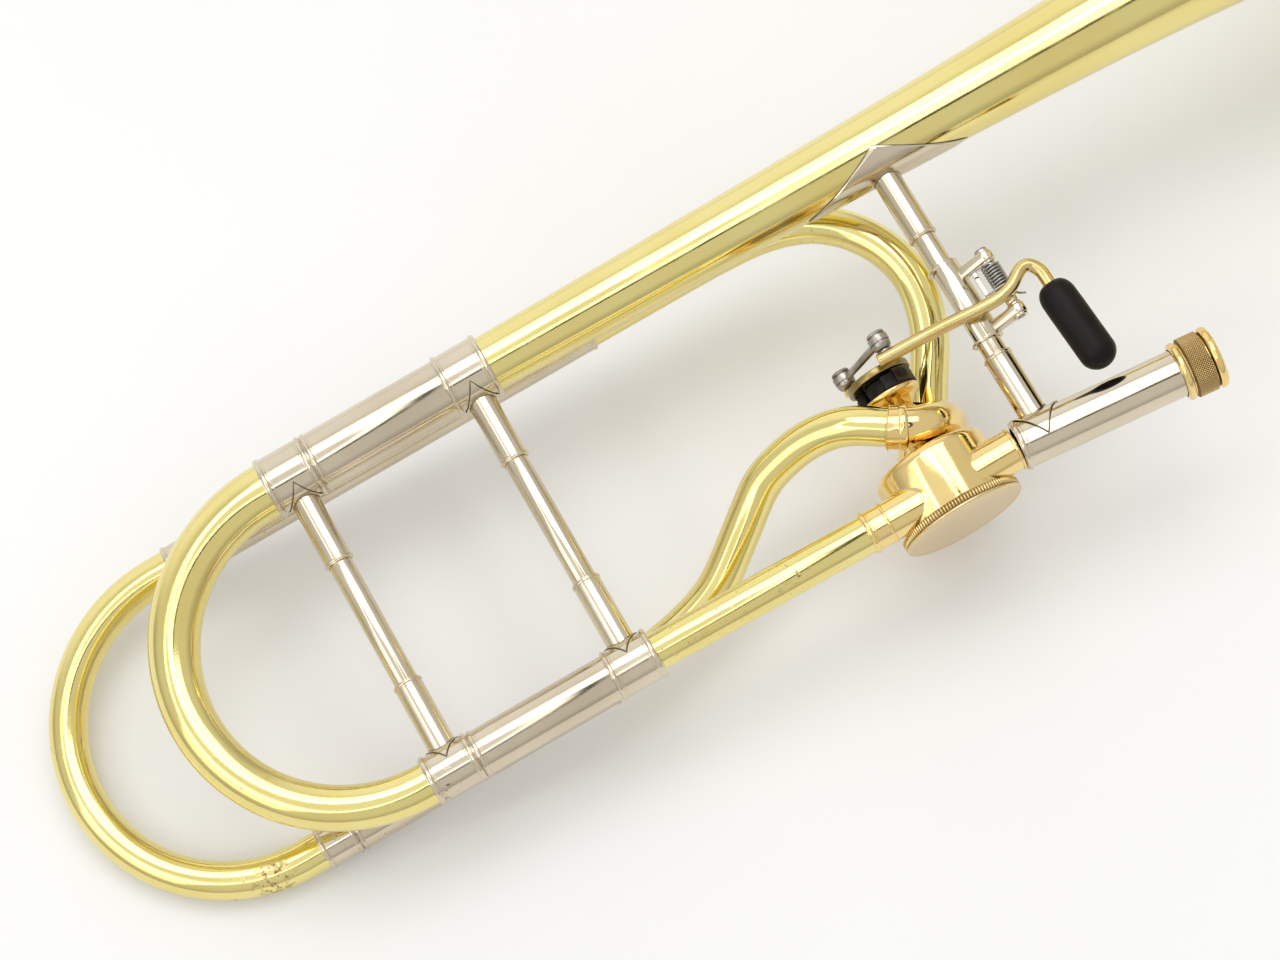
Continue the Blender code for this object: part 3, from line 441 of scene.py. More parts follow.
def bridge(shape, first, second):
    """Faces between two rings of vertices; a ring of one vertex is a tip."""
    count = max(len(first), len(second))
    for i in range(count if len(first) + len(second) > 2 else 0):
        k = (i + 1) % count
        corners = [first[i % len(first)]]
        if len(first) > 1:
            corners.append(first[k])
        if len(second) > 1:
            corners.append(second[k])
        corners.append(second[i % len(second)])
        shape.faces.new(corners)


def bridge_all(shape, rings, capped=False):
    """Bridge each ring to the next, and close the two ends if capped."""
    for first, second in zip(rings, rings[1:]):
        bridge(shape, first, second)
    if capped:
        shape.faces.new(rings[0])
        shape.faces.new(rings[-1])


def turned(name, profile, sides, at, axis, relief=None):
    """The (radius, distance) profile spun round an axis. relief changes a radius by angle."""
    way = Vector(axis).normalized()
    side = way.orthogonal().normalized()
    other = way.cross(side)
    shape = bmesh.new()
    rings = []
    for radius, along in profile:
        centre = Vector(at) + way * along
        if radius < 1e-6:
            rings.append([shape.verts.new(centre * MM)])
            continue
        ring = []
        for i in range(sides):
            turn = 2 * pi * i / sides
            r = radius + (relief(turn, along) if relief else 0.0)
            point = centre + (side * cos(turn) + other * sin(turn)) * r
            ring.append(shape.verts.new(point * MM))
        rings.append(ring)
    bridge_all(shape, rings)
    if len(rings[0]) > 1 or len(rings[-1]) > 1:
        bridge(shape, rings[-1], rings[0])
    return mesh_from(name, shape)


def eased(points, radius, steps=3):
    """The polyline with its corners rounded."""
    found = [tuple(points[0])]
    for before, corner, after in zip(points, points[1:], points[2:]):
        corner = Vector(corner)
        back, ahead = Vector(before) - corner, Vector(after) - corner
        reach = min(radius, 0.45 * back.length, 0.45 * ahead.length)
        start, end = corner + back.normalized() * reach, corner + ahead.normalized() * reach
        for i in range(steps + 1):
            t = i / steps
            found.append(tuple(start * (1 - t) ** 2 + corner * 2 * t * (1 - t) + end * t * t))
    found.append(tuple(points[-1]))
    return found


def bead(radius, at, height, half, steps=8):
    """Half an ellipse that stands on a tube (or, with a negative height, a groove in it)."""
    found = []
    for i in range(steps + 1):
        turn = pi * i / steps
        found.append((radius + height * sin(turn), at - half * cos(turn)))
    return found


def sleeve(start, end, outer, inner, marks=()):
    """A tube's profile with beads and grooves, each given as (place, height, half width)."""
    side = [(inner, start), (outer, start)]
    for at, height, half in sorted(marks):
        side += bead(outer, min(max(at, start + half + 0.05), end - half - 0.05), height, half)
    side += [(outer, end), (inner, end)]
    if not marks:
        return eased(side, SLEEVE_EASE, 2)
    first = eased(side[:3], SLEEVE_EASE, 2)
    last = eased(side[-3:], SLEEVE_EASE, 2)
    return first[:-1] + side[2:-2] + last[1:]


def curve_through(points, steps, passes=30):
    """Points on a Catmull-Rom curve through the given ones, evened out between the ends."""
    knots = [Vector(p) for p in points]
    knots = [2 * knots[0] - knots[1]] + knots + [2 * knots[-1] - knots[-2]]
    found = []
    for i in range(1, len(knots) - 2):
        p0, p1, p2, p3 = knots[i - 1 : i + 3]
        for k in range(steps):
            t = k / steps
            bend = 2 * p0 - 5 * p1 + 4 * p2 - p3
            rest = 3 * p1 - p0 - 3 * p2 + p3
            found.append(0.5 * (2 * p1 + (p2 - p0) * t + bend * t**2 + rest * t**3))
    found.append(knots[-2])
    for _ in range(passes):
        moved = [(a + 2 * b + c) / 4 for a, b, c in zip(found, found[1:], found[2:])]
        found = [found[0]] + moved + [found[-1]]
    return found


def half_circle(x, y, z, radius, steps=96):
    """The path of a bow: from its upper end round to its lower end, bulging toward -X."""
    turns = [radians(90.0 + 180.0 * i / steps) for i in range(steps + 1)]
    return [Vector((x + radius * cos(t), y + radius * sin(t), z)) for t in turns]


def swept(name, path, radius_at, sides, flat=1.0, round_ends=0.0):
    """A round or flattened bar along a path. radius_at takes the share of the way along it."""
    path = [Vector(p) for p in path]
    steps = [(b - a).normalized() for a, b in zip(path, path[1:])]
    between = [(a + b).normalized() for a, b in zip(steps, steps[1:])]
    tangents = [steps[0]] + between + [steps[-1]]
    side = tangents[0].orthogonal().normalized()
    shape = bmesh.new()
    rings = []
    last_i = len(path) - 1
    stations = [(p, way, radius_at(i / last_i)) for i, (p, way) in enumerate(zip(path, tangents))]
    if round_ends > 0:
        first, last = stations[0], stations[-1]
        turns = [pi / 2 * i / 5 for i in range(5)]
        caps = [(round_ends * (1 - cos(t)), round_ends * (1 - sin(t))) for t in turns]
        head = [(first[0] - first[1] * (round_ends - s), first[1], first[2] - c) for c, s in caps[::-1]]
        tail = [(last[0] + last[1] * (round_ends - s), last[1], last[2] - c) for c, s in caps]
        stations = head + stations[1:-1] + tail
    for point, way, radius in stations:
        side = (side - way * side.dot(way)).normalized()
        other = way.cross(side)
        ring = []
        for k in range(sides):
            turn = 2 * pi * k / sides
            at = point + side * cos(turn) * radius + other * sin(turn) * radius * flat
            ring.append(shape.verts.new(at * MM))
        rings.append(ring)
    bridge_all(shape, rings, capped=True)
    return mesh_from(name, shape)


def on_tube(centre, radius_at, slope, x, angle, lift):
    """A point just over a tube that lies nearly along X; the angle runs from +Y toward +Z."""
    r = radius_at(x) + lift
    y = centre[1] + slope * (x - centre[0])
    return Vector((x, y + r * cos(radians(angle)), centre[2] + r * sin(radians(angle))))


def wrapped_plate(name, centre, radius_at, length, spread, facing, slope):
    """A kite-shaped plate bent round a tube along X, with soft outer edges."""
    rows, columns = 40, 36
    shape = bmesh.new()
    sheets = []
    for layer in range(2):
        grid = []
        for i in range(rows + 1):
            along = -1 + 2 * i / rows
            half = spread * max(1 - abs(along), 0.02)
            x = centre[0] + along * length
            line = []
            for j in range(columns + 1):
                across = -1 + 2 * j / columns
                edge = max(1 - abs(along), 0.0) * (1 - abs(across)) * spread
                soften = min(1.0, 0.25 + edge / 2.2)
                lift = layer * FOOT_THICK * soften
                at = on_tube(centre, radius_at, slope, x, facing + half * across, lift)
                line.append(shape.verts.new(at * MM))
            grid.append(line)
        sheets.append(grid)
    for layer, grid in enumerate(sheets):
        for i in range(rows):
            for j in range(columns):
                corners = (grid[i][j], grid[i][j + 1], grid[i + 1][j + 1], grid[i + 1][j])
                shape.faces.new(corners if layer else corners[::-1])
    outline = [(0, j) for j in range(columns)] + [(i, columns) for i in range(rows)]
    outline += [(rows, j) for j in range(columns, 0, -1)] + [(i, 0) for i in range(rows, 0, -1)]
    for (i, j), (k, m) in zip(outline, outline[1:] + outline[:1]):
        shape.faces.new((sheets[0][i][j], sheets[0][k][m], sheets[1][k][m], sheets[1][i][j]))
    return mesh_from(name, shape)


def plate(name, outline, thick, at, across, up, ease):
    """A flat plate: an outline given in two directions, with a thickness and bevelled edges."""
    shape = bmesh.new()
    normal = Vector(across).cross(Vector(up)).normalized()
    verts = []
    for u, v in outline:
        point = Vector(at) + Vector(across) * u + Vector(up) * v - normal * thick / 2
        verts.append(shape.verts.new(point * MM))
    face = shape.faces.new(verts)
    made = bmesh.ops.extrude_face_region(shape, geom=[face])
    moved = [v for v in made["geom"] if isinstance(v, bmesh.types.BMVert)]
    bmesh.ops.translate(shape, verts=moved, vec=normal * thick * MM)
    bmesh.ops.recalc_face_normals(shape, faces=shape.faces)
    rims = [e for e in shape.edges if len(e.link_faces) == 2 and e.calc_face_angle() > 0.7]
    bmesh.ops.bevel(shape, geom=rims, offset=ease * MM, segments=3, affect="EDGES", profile=0.5)
    return mesh_from(name, shape)


def bell_radius(x):
    stem = BELL_STEM_R + BELL_TAPER * (x - BELL_START)
    flare = exp(-(((BELL_RIM - x) / BELL_FLARE_LENGTH) ** BELL_FLARE_POWER))
    return stem + BELL_FLARE_R * flare


def polar(radius, angle, y):
    """A point round the valve axis; the angle runs from +X toward +Z."""
    turn = radians(angle)
    return Vector((VALVE_X + radius * cos(turn), y, VALVE_Z + radius * sin(turn)))


# ---- bell


def make_bell():
    count = 110
    shares = [1 - (1 - i / count) ** 2.3 for i in range(count)]
    stations = [BELL_START + (BELL_RIM - BELL_START) * share for share in shares]
    outer = [(bell_radius(x), x) for x in stations]
    inner = [(bell_radius(x) - BELL_WALL, x) for x in stations[::-1]]
    rim = bell_radius(BELL_RIM)
    wire = []
    for i in range(15):
        turn = radians(-150 + 300 * i / 14)
        along = BELL_RIM - 0.15 + RIM_WIRE_R * sin(turn)
        wire.append((rim - 0.1 + RIM_WIRE_R * cos(turn), along))
    lathe("bell_skin", outer + wire + inner, WIDE_SIDES, BELL_AT, BELL_AXIS, BRASS)


# ---- main slides


def make_tuning_slide():
    path = [Vector((4.0 - i * 2.0, LEG_SPACING, 0.0)) for i in range(3)]
    path += half_circle(BOW_CENTRE_X, BOW_RADIUS, 0.0, BOW_RADIUS)
    path += [Vector((i * 2.0, 0.0, 0.0)) for i in range(3)]
    pipe("tuning_bow_skin", path, lambda t: 10.1 - 2.5 * t, TUBE_SIDES, BRASS)
    edges = ((0.5, 0.6, 0.95), (2.1, -0.12, 0.25), (15.2, -0.12, 0.25), (16.6, 0.55, 0.85))
    for side, place, outer, inner in (("upper", UPPER, 10.95, 10.2), ("lower", LOWER, 8.7, 7.75)):
        profile = sleeve(FERRULE_LEFT, FERRULE_RIGHT, outer, inner, edges)
        lathe("tuning_ferrule_skin_" + side, profile, TUBE_SIDES, place, X, NICKEL)
    for side, place, outer in (("upper", UPPER, 10.05), ("lower", LOWER, 7.5)):
        lathe(
            "tuning_inner_skin_" + side, sleeve(4.4, 66.0, outer, outer - 0.5), TUBE_SIDES, place, X,
            NICKEL,
        )


def make_outer_tubes():
    for side, place, outer in (("upper", UPPER, 10.9), ("lower", LOWER, 8.4)):
        marks = ((OUTER_START + 1.0, 0.5, 0.8), (OUTER_START + 2.5, -0.08, 0.2))
        profile = sleeve(OUTER_START, OUTER_END, outer, outer - 0.5, marks)
        lathe("slide_outer_skin_" + side, profile, TUBE_SIDES, place, X, NICKEL)
    joint_marks = ((71.9, 0.5, 0.8), (73.4, -0.1, 0.22), (85.7, -0.1, 0.22), (87.4, 0.65, 0.95))
    joints = (("bell_joint", UPPER, 11.5, 10.3), ("gooseneck_joint", LOWER, 9.0, 6.9))
    for name, place, outer, inner in joints:
        profile = sleeve(JOINT_LEFT, JOINT_RIGHT, outer, inner, joint_marks)
        lathe(name + "_skin", profile, TUBE_SIDES, place, X, NICKEL, [name + "_ferrule"])
    run = Vector((94.6, LINE_Y, 0.0))
    profile = eased([(0.0, 0.0), (6.72, 0.0), (6.9, 94.6), (0.0, 94.6)], 0.2)
    lathe("gooseneck_skin", profile, TUBE_SIDES, (77.4, 0.0, 0.0), run, BRASS)


# ---- braces


def make_brace(name, x, top, bottom, top_bead, bottom_bead, feet):
    """Two sockets cut to their tubes, the thin tube between them, two feet and their seams."""
    body = BODY_OF[name + "_tube"]
    for side, start, end, at, foot in (
        ("upper", top_bead - 0.9, top, top_bead, top),
        ("lower", bottom, bottom_bead + 0.9, bottom_bead, bottom),
    ):
        groove = at + (1.3 if side == "upper" else -1.3)
        profile = sleeve(start, end, SOCKET_R, 4.45, ((at, 0.34, 0.6), (groove, -0.08, 0.18)))
        mesh = turned(f"{name}_socket_skin_{side}", profile, STAY_SIDES, (x, 0.0, 0.0), Y)
        facing, centre, radius_at = next((f, c, r) for s, f, c, r, *_ in feet if s == side)
        way = cos(radians(facing))
        for vert in mesh.vertices:
            if abs(vert.co.y / MM - foot) < 0.6:
                seat = sqrt(radius_at(vert.co.x / MM) ** 2 - (vert.co.z / MM) ** 2)
                vert.co.y = (centre[1] + way * (seat + 0.1)) * MM
        piece(f"{name}_socket_skin_{side}", mesh, NICKEL)
        ring = []
        for i in range(STAY_SIDES + 1):
            turn = 2 * pi * i / STAY_SIDES
            at_x, at_z = x + (SOCKET_R + 0.02) * cos(turn), (SOCKET_R + 0.02) * sin(turn)
            seat = sqrt(radius_at(at_x) ** 2 - at_z**2)
            ring.append((at_x, centre[1] + way * (seat + 0.5), at_z))
        pipe(f"{name}_seam_{side}", ring, SEAM_R, SEAM_SIDES, "seam", body=body)
    profile = sleeve(bottom_bead - 12.0, top_bead + 12.0, 4.35, 3.75)
    lathe(name + "_tube_skin", profile, STAY_SIDES, (x, 0.0, 0.0), Y, NICKEL)
    for side, facing, centre, radius_at, length, spread, slope in feet:
        foot = f"{name}_foot_skin_{side}"
        mesh = wrapped_plate(foot, centre, radius_at, length, spread, facing, slope)
        piece(foot, mesh, NICKEL, [f"{name}_foot_{side}"])
        outline = []
        for i in range(97):
            along = 2 * abs((i / 48 + 1.0) % 2 - 1) - 1
            half = spread * (1 - abs(along)) * (1 if i < 48 else -1)
            at_x = centre[0] + along * length
            outline.append(on_tube(centre, radius_at, slope, at_x, facing + half, 0.12))
        pipe(f"{name}_outline_{side}", outline, OUTLINE_R, SEAM_SIDES, "seam", body=body)


def make_braces():
    bell_slope = tan(BELL_TURN)
    receiver_slope = tan(RECEIVER_TURN)
    bell_y = LEG_SPACING + (BRACE_3_X - BELL_START) * bell_slope
    receiver_y = LINE_Y + (BRACE_3_X - RECEIVER_START) * receiver_slope
    for name, x, top_r, low_r, top, bottom, top_bead, bottom_bead in (
        ("slide_brace", BRACE_1_X, 10.95, 8.7, LEG_SPACING - 12.4, 10.1, 84.3, 33.7),
        ("bell_brace", BRACE_2_X, 11.5, 9.0, LEG_SPACING - 13.0, 10.4, 84.8, 33.4),
    ):
        feet = (
            ("upper", 180.0, (x, LEG_SPACING, 0.0), lambda at, r=top_r: r, 6.6, 62.0, 0.0),
            ("lower", 0.0, (x, 0.0, 0.0), lambda at, r=low_r: r, 6.6, 70.0, 0.0),
        )
        make_brace(name, x, top, bottom, top_bead, bottom_bead, feet)

    def receiver_radius(_at):
        return RECEIVER_R + 0.2

    feet = (
        ("upper", 180.0, (BRACE_3_X, bell_y, 0.0), bell_radius, 32.0, 75.0, bell_slope),
        ("lower", 0.0, (BRACE_3_X, receiver_y, 0.0), receiver_radius, 9.5, 104.0, receiver_slope),
    )
    make_brace("hand_brace", BRACE_3_X, bell_y - 15.2, 8.3, 81.2, 29.6, feet)


# ---- rotary valve


def port_collar(name, out, offset, tube_r, flare, reach):
    """The flared seat where a port's ferrule meets the round casing."""
    out = Vector(out)
    across = Y.cross(out)
    steps = 10
    shape = bmesh.new()
    rings = []
    for i in range(steps + 1):
        share = i / steps
        spread = tube_r + flare * (1 - share) ** 2.2
        lift = 0.05 + reach * share
        ring = []
        for k in range(TUBE_SIDES):
            turn = 2 * pi * k / TUBE_SIDES
            q = offset + spread * sin(turn)
            depth = sqrt(CASING_R**2 - min(abs(q), CASING_R - 0.05) ** 2)
            at = VALVE + out * (depth + lift) + across * q
            at.y = LINE_Y + spread * cos(turn)
            ring.append(shape.verts.new(at * MM))
        rings.append(ring)
    bridge_all(shape, rings)
    inner = [shape.verts.new(vert.co - out * (reach + 1.0) * MM) for vert in rings[-1]]
    bridge(shape, rings[-1], inner)
    bridge(shape, inner, rings[0])
    piece(name, mesh_from(name, shape), ROSE, body=BODY_OF["valve_casing"])


def seat_in_casing(mesh, end):
    """Cut one end of a sleeve to the round casing, just under its surface."""
    way = 1.0 if end > VALVE_X else -1.0
    for vert in mesh.vertices:
        if abs(vert.co.x / MM - end) < 0.6:
            reach = sqrt((CASING_R - 0.6) ** 2 - (vert.co.z / MM - VALVE_Z) ** 2)
            vert.co.x = (VALVE_X + way * reach) * MM


def make_valve():
    r, top, low = CASING_R, CASING_TOP, CASING_BOTTOM + 0.3
    corners = [(0.0, top), (r - 2.9, top), (r - 0.9, top - 0.9), (r, top - 2.9), (r, low)]
    profile = eased(corners + [(r - 1.2, low), (0.0, low)], 1.1, 5)
    lathe("valve_casing_skin", profile, WIDE_SIDES, VALVE, Y, ROSE)

    def straight_knurl(turn, _along):
        return -CAP_KNURL_DEPTH * abs(cos(turn * CAP_TEETH / 2)) ** 1.4

    band = [(CAP_R - 1.4, -8.3), (CAP_R - 0.3, -8.35), (CAP_R, -8.6), (CAP_R, -10.7)]
    band += [(CAP_R - 0.3, -10.9), (CAP_R - 1.4, -10.95)]
    lathe(
        "valve_cap_knurl", band, CAP_TEETH * 8, VALVE, Y, "cap_knurling", body=BODY_OF["valve_cap"],
        sharp=60.0, relief=straight_knurl,
    )
    disc = [(0.0, -10.6), (CAP_R - 1.3, -10.6)]
    for turn in (radians(18 * i) for i in range(11)):
        disc.append((CAP_R - 0.95 + 0.95 * sin(turn), -11.6 + 0.75 * cos(turn)))
    disc += [(CAP_R - 1.5, -12.22), (CAP_R - 1.9, -12.1), (CAP_R - 2.3, -12.2), (CAP_R - 3.2, -12.28)]
    disc += [(r, -12.28 - 0.32 * (1 - (r / 19.6) ** 2)) for r in (17.0, 13.0, 8.0, 4.0)]
    disc += [(0.0, -12.6)]
    lathe("valve_cap_skin", disc, WIDE_SIDES, VALVE, Y, "cap_brass")

    top = HOUSING_TOP
    corners = [(3.5, 12.4), (8.6, 12.4), (8.6, 14.4), (7.4, 15.6), (4.8, 17.2), (4.5, 32.0)]
    corners += [(6.4, 34.0), (8.8, 36.6), (10.9, top - 1.7), (11.3, top - 0.9), (11.3, top)]
    housing = eased(corners + [(3.5, top)], 0.9, 4)
    lathe("bearing_housing_skin", housing, TUBE_SIDES, VALVE, Y, ROSE)

    marks = ((172.2, 0.6, 0.9), (173.8, -0.1, 0.2), (179.2, 0.4, 0.55))
    line = (0.0, LINE_Y, 0.0)
    start, end = 171.2, 182.5
    mesh = turned("gooseneck_valve_skin", sleeve(start, end, 7.35, 6.9, marks), TUBE_SIDES, line, X)
    seat_in_casing(mesh, end)
    piece("gooseneck_valve_skin", mesh, ROSE, ["gooseneck_valve_ferrule"])
    start, end = 225.0, RECEIVER_START - 0.4
    neck = sleeve(start, end, 7.5, 6.7, ((230.0, 0.5, 0.6),))
    mesh = turned("receiver_neck_skin", neck, TUBE_SIDES, line, X)
    seat_in_casing(mesh, start)
    piece("receiver_neck_skin", mesh, ROSE, ["receiver_neck_pipe"])
    for name, out, offset, tube_r, flare, reach in (
        ("left", -X, -VALVE_Z, 7.35, 0.6, 0.5),
        ("right", X, VALVE_Z, 7.5, 0.6, 0.5),
        ("f_left", -Z, F_PORT_OFFSET, 7.0, 0.8, 0.7),
        ("f_right", -Z, -F_PORT_OFFSET, 7.0, 0.8, 0.7),
    ):
        port_collar("port_collar_" + name, out, offset, tube_r, flare, reach)


def make_rotor():
    """The stop wheel with its stud, lug and screw; the rotor itself stays the CAD solid."""
    for node in ("rotor", "rotor_bearing_plate"):
        materials = frame["nodes"][node].data.materials
        materials.clear()
        materials.append(LOOKS[BRASS])
    low, top = WHEEL_BOTTOM, WHEEL_TOP
    wheel = eased([(2.7, low), (WHEEL_R, low), (WHEEL_R, top), (2.7, top)], 0.45, 4)
    lathe("stop_wheel_skin", wheel, WIDE_SIDES, VALVE, Y, "wheel_bronze")
    low = WHEEL_TOP - 0.4
    stud = eased([(0.0, low), (2.6, low), (2.6, 49.6), (1.9, 50.5), (0.0, 50.6)], 0.3)
    lathe(
        "stop_wheel_stud", stud, SMALL_SIDES, polar(STOP_ARM_R, STOP_ARM_ANGLE, 0.0), Y, BRASS,
        body="rotor",
    )
    top = WHEEL_BOTTOM + 0.3
    lug = eased([(0.0, 41.0), (1.9, 41.0), (1.9, top), (0.0, top)], 0.3)
    lathe(
        "stop_wheel_lug", lug, SMALL_SIDES, polar(8.6, STOP_ARM_ANGLE, 0.0), Y, "bumper_rubber",
        body="rotor",
    )
    head = slotted_head(3.6, 1.5)
    screw = lathe(
        "stop_wheel_screw_head", head, STAY_SIDES, VALVE + Y * (WHEEL_TOP + 0.2), Y, "steel",
        ["stop_wheel_screw"],
    )
    cut_slot(screw, VALVE + Y * (WHEEL_TOP + 2.0), Y, X, 7.4, 0.8, 0.7)


def slotted_head(radius, height):
    """A low domed screw head, from its seat up."""
    turns = [radians(a) for a in range(0, 90, 15)]
    dome = [(radius * cos(t), height * (0.45 + 0.55 * sin(t))) for t in turns]
    return [(0.0, 0.0), (radius - 0.2, 0.0), (radius, 0.2)] + dome + [(0.0, height)]


def cut_slot(obj, at, out, along, length, width, depth):
    """Cut a screwdriver slot: a box taken out of the head, with the result made final."""
    out, along = Vector(out).normalized(), Vector(along).normalized()
    across = out.cross(along)
    shape = bmesh.new()
    bmesh.ops.create_cube(shape, size=1.0)
    turn = Matrix((along * length * MM, across * width * MM, out * depth * 2 * MM)).transposed()
    place = Matrix.Translation(Vector(at) * MM) @ turn.to_4x4()
    bmesh.ops.transform(shape, matrix=place, verts=shape.verts)
    tool = new_object("slot_tool", mesh_from("slot_tool", shape))
    tool.matrix_world = PLACE
    step = obj.modifiers.new("slot", "BOOLEAN")
    step.operation = "DIFFERENCE"
    step.object = tool
    step.solver = "EXACT"
    bpy.context.view_layer.update()
    graph = bpy.context.evaluated_depsgraph_get()
    cut = bpy.data.meshes.new_from_object(obj.evaluated_get(graph))
    obj.modifiers.clear()
    obj.data = cut
    cut.set_sharp_from_angle(angle=radians(30.0))
    bpy.data.objects.remove(tool)


def ring_block(name, profile, centre, start, end, steps):
    """A block that is part of a ring: a (radius, y) profile turned round a line along Y."""
    shape = bmesh.new()
    rings = []
    for i in range(steps + 1):
        turn = radians(start + (end - start) * i / steps)
        ring = [centre + Vector((r * cos(turn), y, r * sin(turn))) for r, y in profile]
        rings.append([shape.verts.new(at * MM) for at in ring])
    bridge_all(shape, rings, capped=True)
    return mesh_from(name, shape)


def boxed(inner, outer, low, high, ease, steps=3):
    """A rounded rectangle as a closed (radius, y) profile, from the middle of its low side."""
    middle = (inner + outer) / 2
    corners = [(middle, low), (outer, low), (outer, high), (inner, high), (inner, low), (middle, low)]
    return eased(corners, ease, steps)[:-1]


def make_bumpers():
    """The stop ring with its two bumper blocks, under the wheel."""
    low, high = HOUSING_TOP, WHEEL_BOTTOM
    core = eased([(3.3, low + 0.1), (6.4, low + 0.1), (6.4, high - 0.3), (3.3, high - 0.3)], 0.3)
    lathe("stop_core", core, TUBE_SIDES, VALVE, Y, "bumper_rubber")
    profile = boxed(4.6, 11.3, low + 0.2, high - 1.2, 0.4)
    mesh = ring_block("stop_ring", profile, VALVE, 213.0, 453.0, 60)
    piece("stop_ring", mesh, "bumper_rubber", ["stop_bumpers"])
    profile = boxed(7.0, 12.1, low + 0.6, high - 0.5, 0.4)
    cork = eased([(0.0, 0.0), (1.6, 0.0), (1.6, 0.55), (0.0, 0.65)], 0.2)
    for name, angle in (("bumper_block_a", 50.0), ("bumper_block_b", 232.0)):
        mesh = ring_block(name, profile, VALVE, angle - 19, angle + 19, 9)
        piece(name, mesh, "bumper_carrier")
        out = (polar(1.0, angle, 0.0) - polar(0.0, angle, 0.0)).normalized()
        lathe(name + "_cork", cork, SMALL_SIDES, polar(11.75, angle, 42.8), out, "bumper_rubber")


# ---- receiver


def make_receiver():
    side = [(7.0, 0.4), (RECEIVER_R - 0.1, 0.4)]
    side += bead(RECEIVER_R, 1.5, 0.55, 0.9)
    side += bead(RECEIVER_R, 3.4, -0.1, 0.22)
    side += bead(RECEIVER_R, RECEIVER_LENGTH - 7.0, 0.3, 0.6)
    side += [(RECEIVER_R, RECEIVER_LENGTH - 4.0), (7.8, RECEIVER_LENGTH - 4.0), (7.3, 20.0), (7.0, 16.0)]
    lathe("receiver_skin", side, TUBE_SIDES, RECEIVER_AT, RECEIVER_AXIS, NICKEL, ["slide_receiver"])

    low, high = NUT_START + 3.6, NUT_START + 10.9

    def diamond(turn, along):
        around, forward = turn * NUT_MARKS / 2, along * NUT_MARKS / 2 / NUT_KNURL_R
        rise = sin(around + forward) * sin(around - forward)
        return -NUT_KNURL_DEPTH * (1 - abs(rise)) ** 2.0

    rows = 44
    band = [(9.6, low), (10.6, low)]
    band += [(NUT_KNURL_R, low + 0.25 + (high - low - 0.5) * i / rows) for i in range(rows + 1)]
    band += [(10.6, high), (9.6, high)]
    lathe(
        "nut_knurl", band, NUT_MARKS * 7, RECEIVER_AT, RECEIVER_AXIS, "nut_knurling",
        body="locking_nut", sharp=70.0, relief=diamond,
    )
    ring = [(8.9, NUT_START), (9.6, NUT_START)]
    ring += bead(10.0, NUT_START + 1.4, 0.75, 1.2)
    ring += [(9.75, NUT_START + 3.3), (9.75, NUT_START + 11.2)]
    ring += bead(10.3, NUT_START + 13.1, 1.0, 1.5)
    ring += [(10.2, NUT_END - 0.1), (9.9, NUT_END), (8.7, NUT_END)]
    ring += [(8.6, NUT_END - 0.2)]
    ring += [(8.6 + 0.25 * (i % 2), NUT_END - 0.4 - 0.35 * i) for i in range(7)]
    ring += [(9.4, RECEIVER_LENGTH - 3.2), (9.4, RECEIVER_LENGTH - 7.9), (8.9, RECEIVER_LENGTH - 7.9)]
    lathe("nut_skin", ring, TUBE_SIDES, RECEIVER_AT, RECEIVER_AXIS, ROSE, ["receiver_nut"])


# ---- F attachment

LOWER_CROOK = (
    (196.5, 27.2, 2.0), (186.0, 34.7, 0.9), (177.0, 38.5, -3.0), (168.2, 39.7, -6.8),
    (160.2, 39.1, -10.4), (152.0, 37.5, -14.2), (145.7, 34.1, -17.2), (138.8, 29.2, -20.2),
    (130.0, 22.9, -23.0), (122.0, 17.3, -25.6), (112.6, 12.6, -28.0), (97.0, 8.9, -30.0),
    (80.0, 6.3, -30.0), (70.6, F_LOWER_Y, F_Z), (62.0, F_LOWER_Y, F_Z),
)
UPPER_CROOK = (
    (218.2, 39.0, -41.0), (223.2, 47.0, -37.6), (229.3, 56.0, -34.4), (233.6, 67.0, -31.8),
    (235.4, 79.5, -30.4), (232.4, 93.4, F_Z), (224.9, 106.0, F_Z), (213.6, 115.6, F_Z),
    (199.0, 120.6, F_Z), (182.0, F_UPPER_Y - 0.2, F_Z), (150.0, F_UPPER_Y, F_Z),
    (118.0, F_UPPER_Y, F_Z),
)
PORT_LEFT_X = VALVE_X - F_PORT_OFFSET
PORT_RIGHT_X = VALVE_X + F_PORT_OFFSET
LOWER_PORT = (
    (PORT_RIGHT_X, LINE_Y, -27.0), (PORT_RIGHT_X, LINE_Y + 0.3, -34.0),
    (PORT_RIGHT_X + 0.4, 2.2, -40.4), (PORT_RIGHT_X + 1.0, 9.4, -43.8),
    (PORT_RIGHT_X + 1.8, 16.6, -42.0), (PORT_RIGHT_X + 2.6, 21.2, -35.6), (217.6, 22.4, -27.0),
    (217.4, 22.4, -18.0), (215.6, 22.0, -9.2), (211.6, 21.9, -2.2), (205.4, 22.6, 1.2),
    (198.4, 26.0, 2.0), (196.5, 27.2, 2.0),
)
UPPER_PORT = (
    (PORT_LEFT_X, LINE_Y, -27.0), (PORT_LEFT_X, LINE_Y + 0.4, -36.0),
    (PORT_LEFT_X + 0.4, 2.6, -44.0), (PORT_LEFT_X + 2.4, 10.0, -50.6),
    (PORT_LEFT_X + 8.0, 19.0, -54.0), (206.4, 27.4, -51.6), (213.0, 33.6, -46.6),
    (218.2, 39.0, -41.0),
)


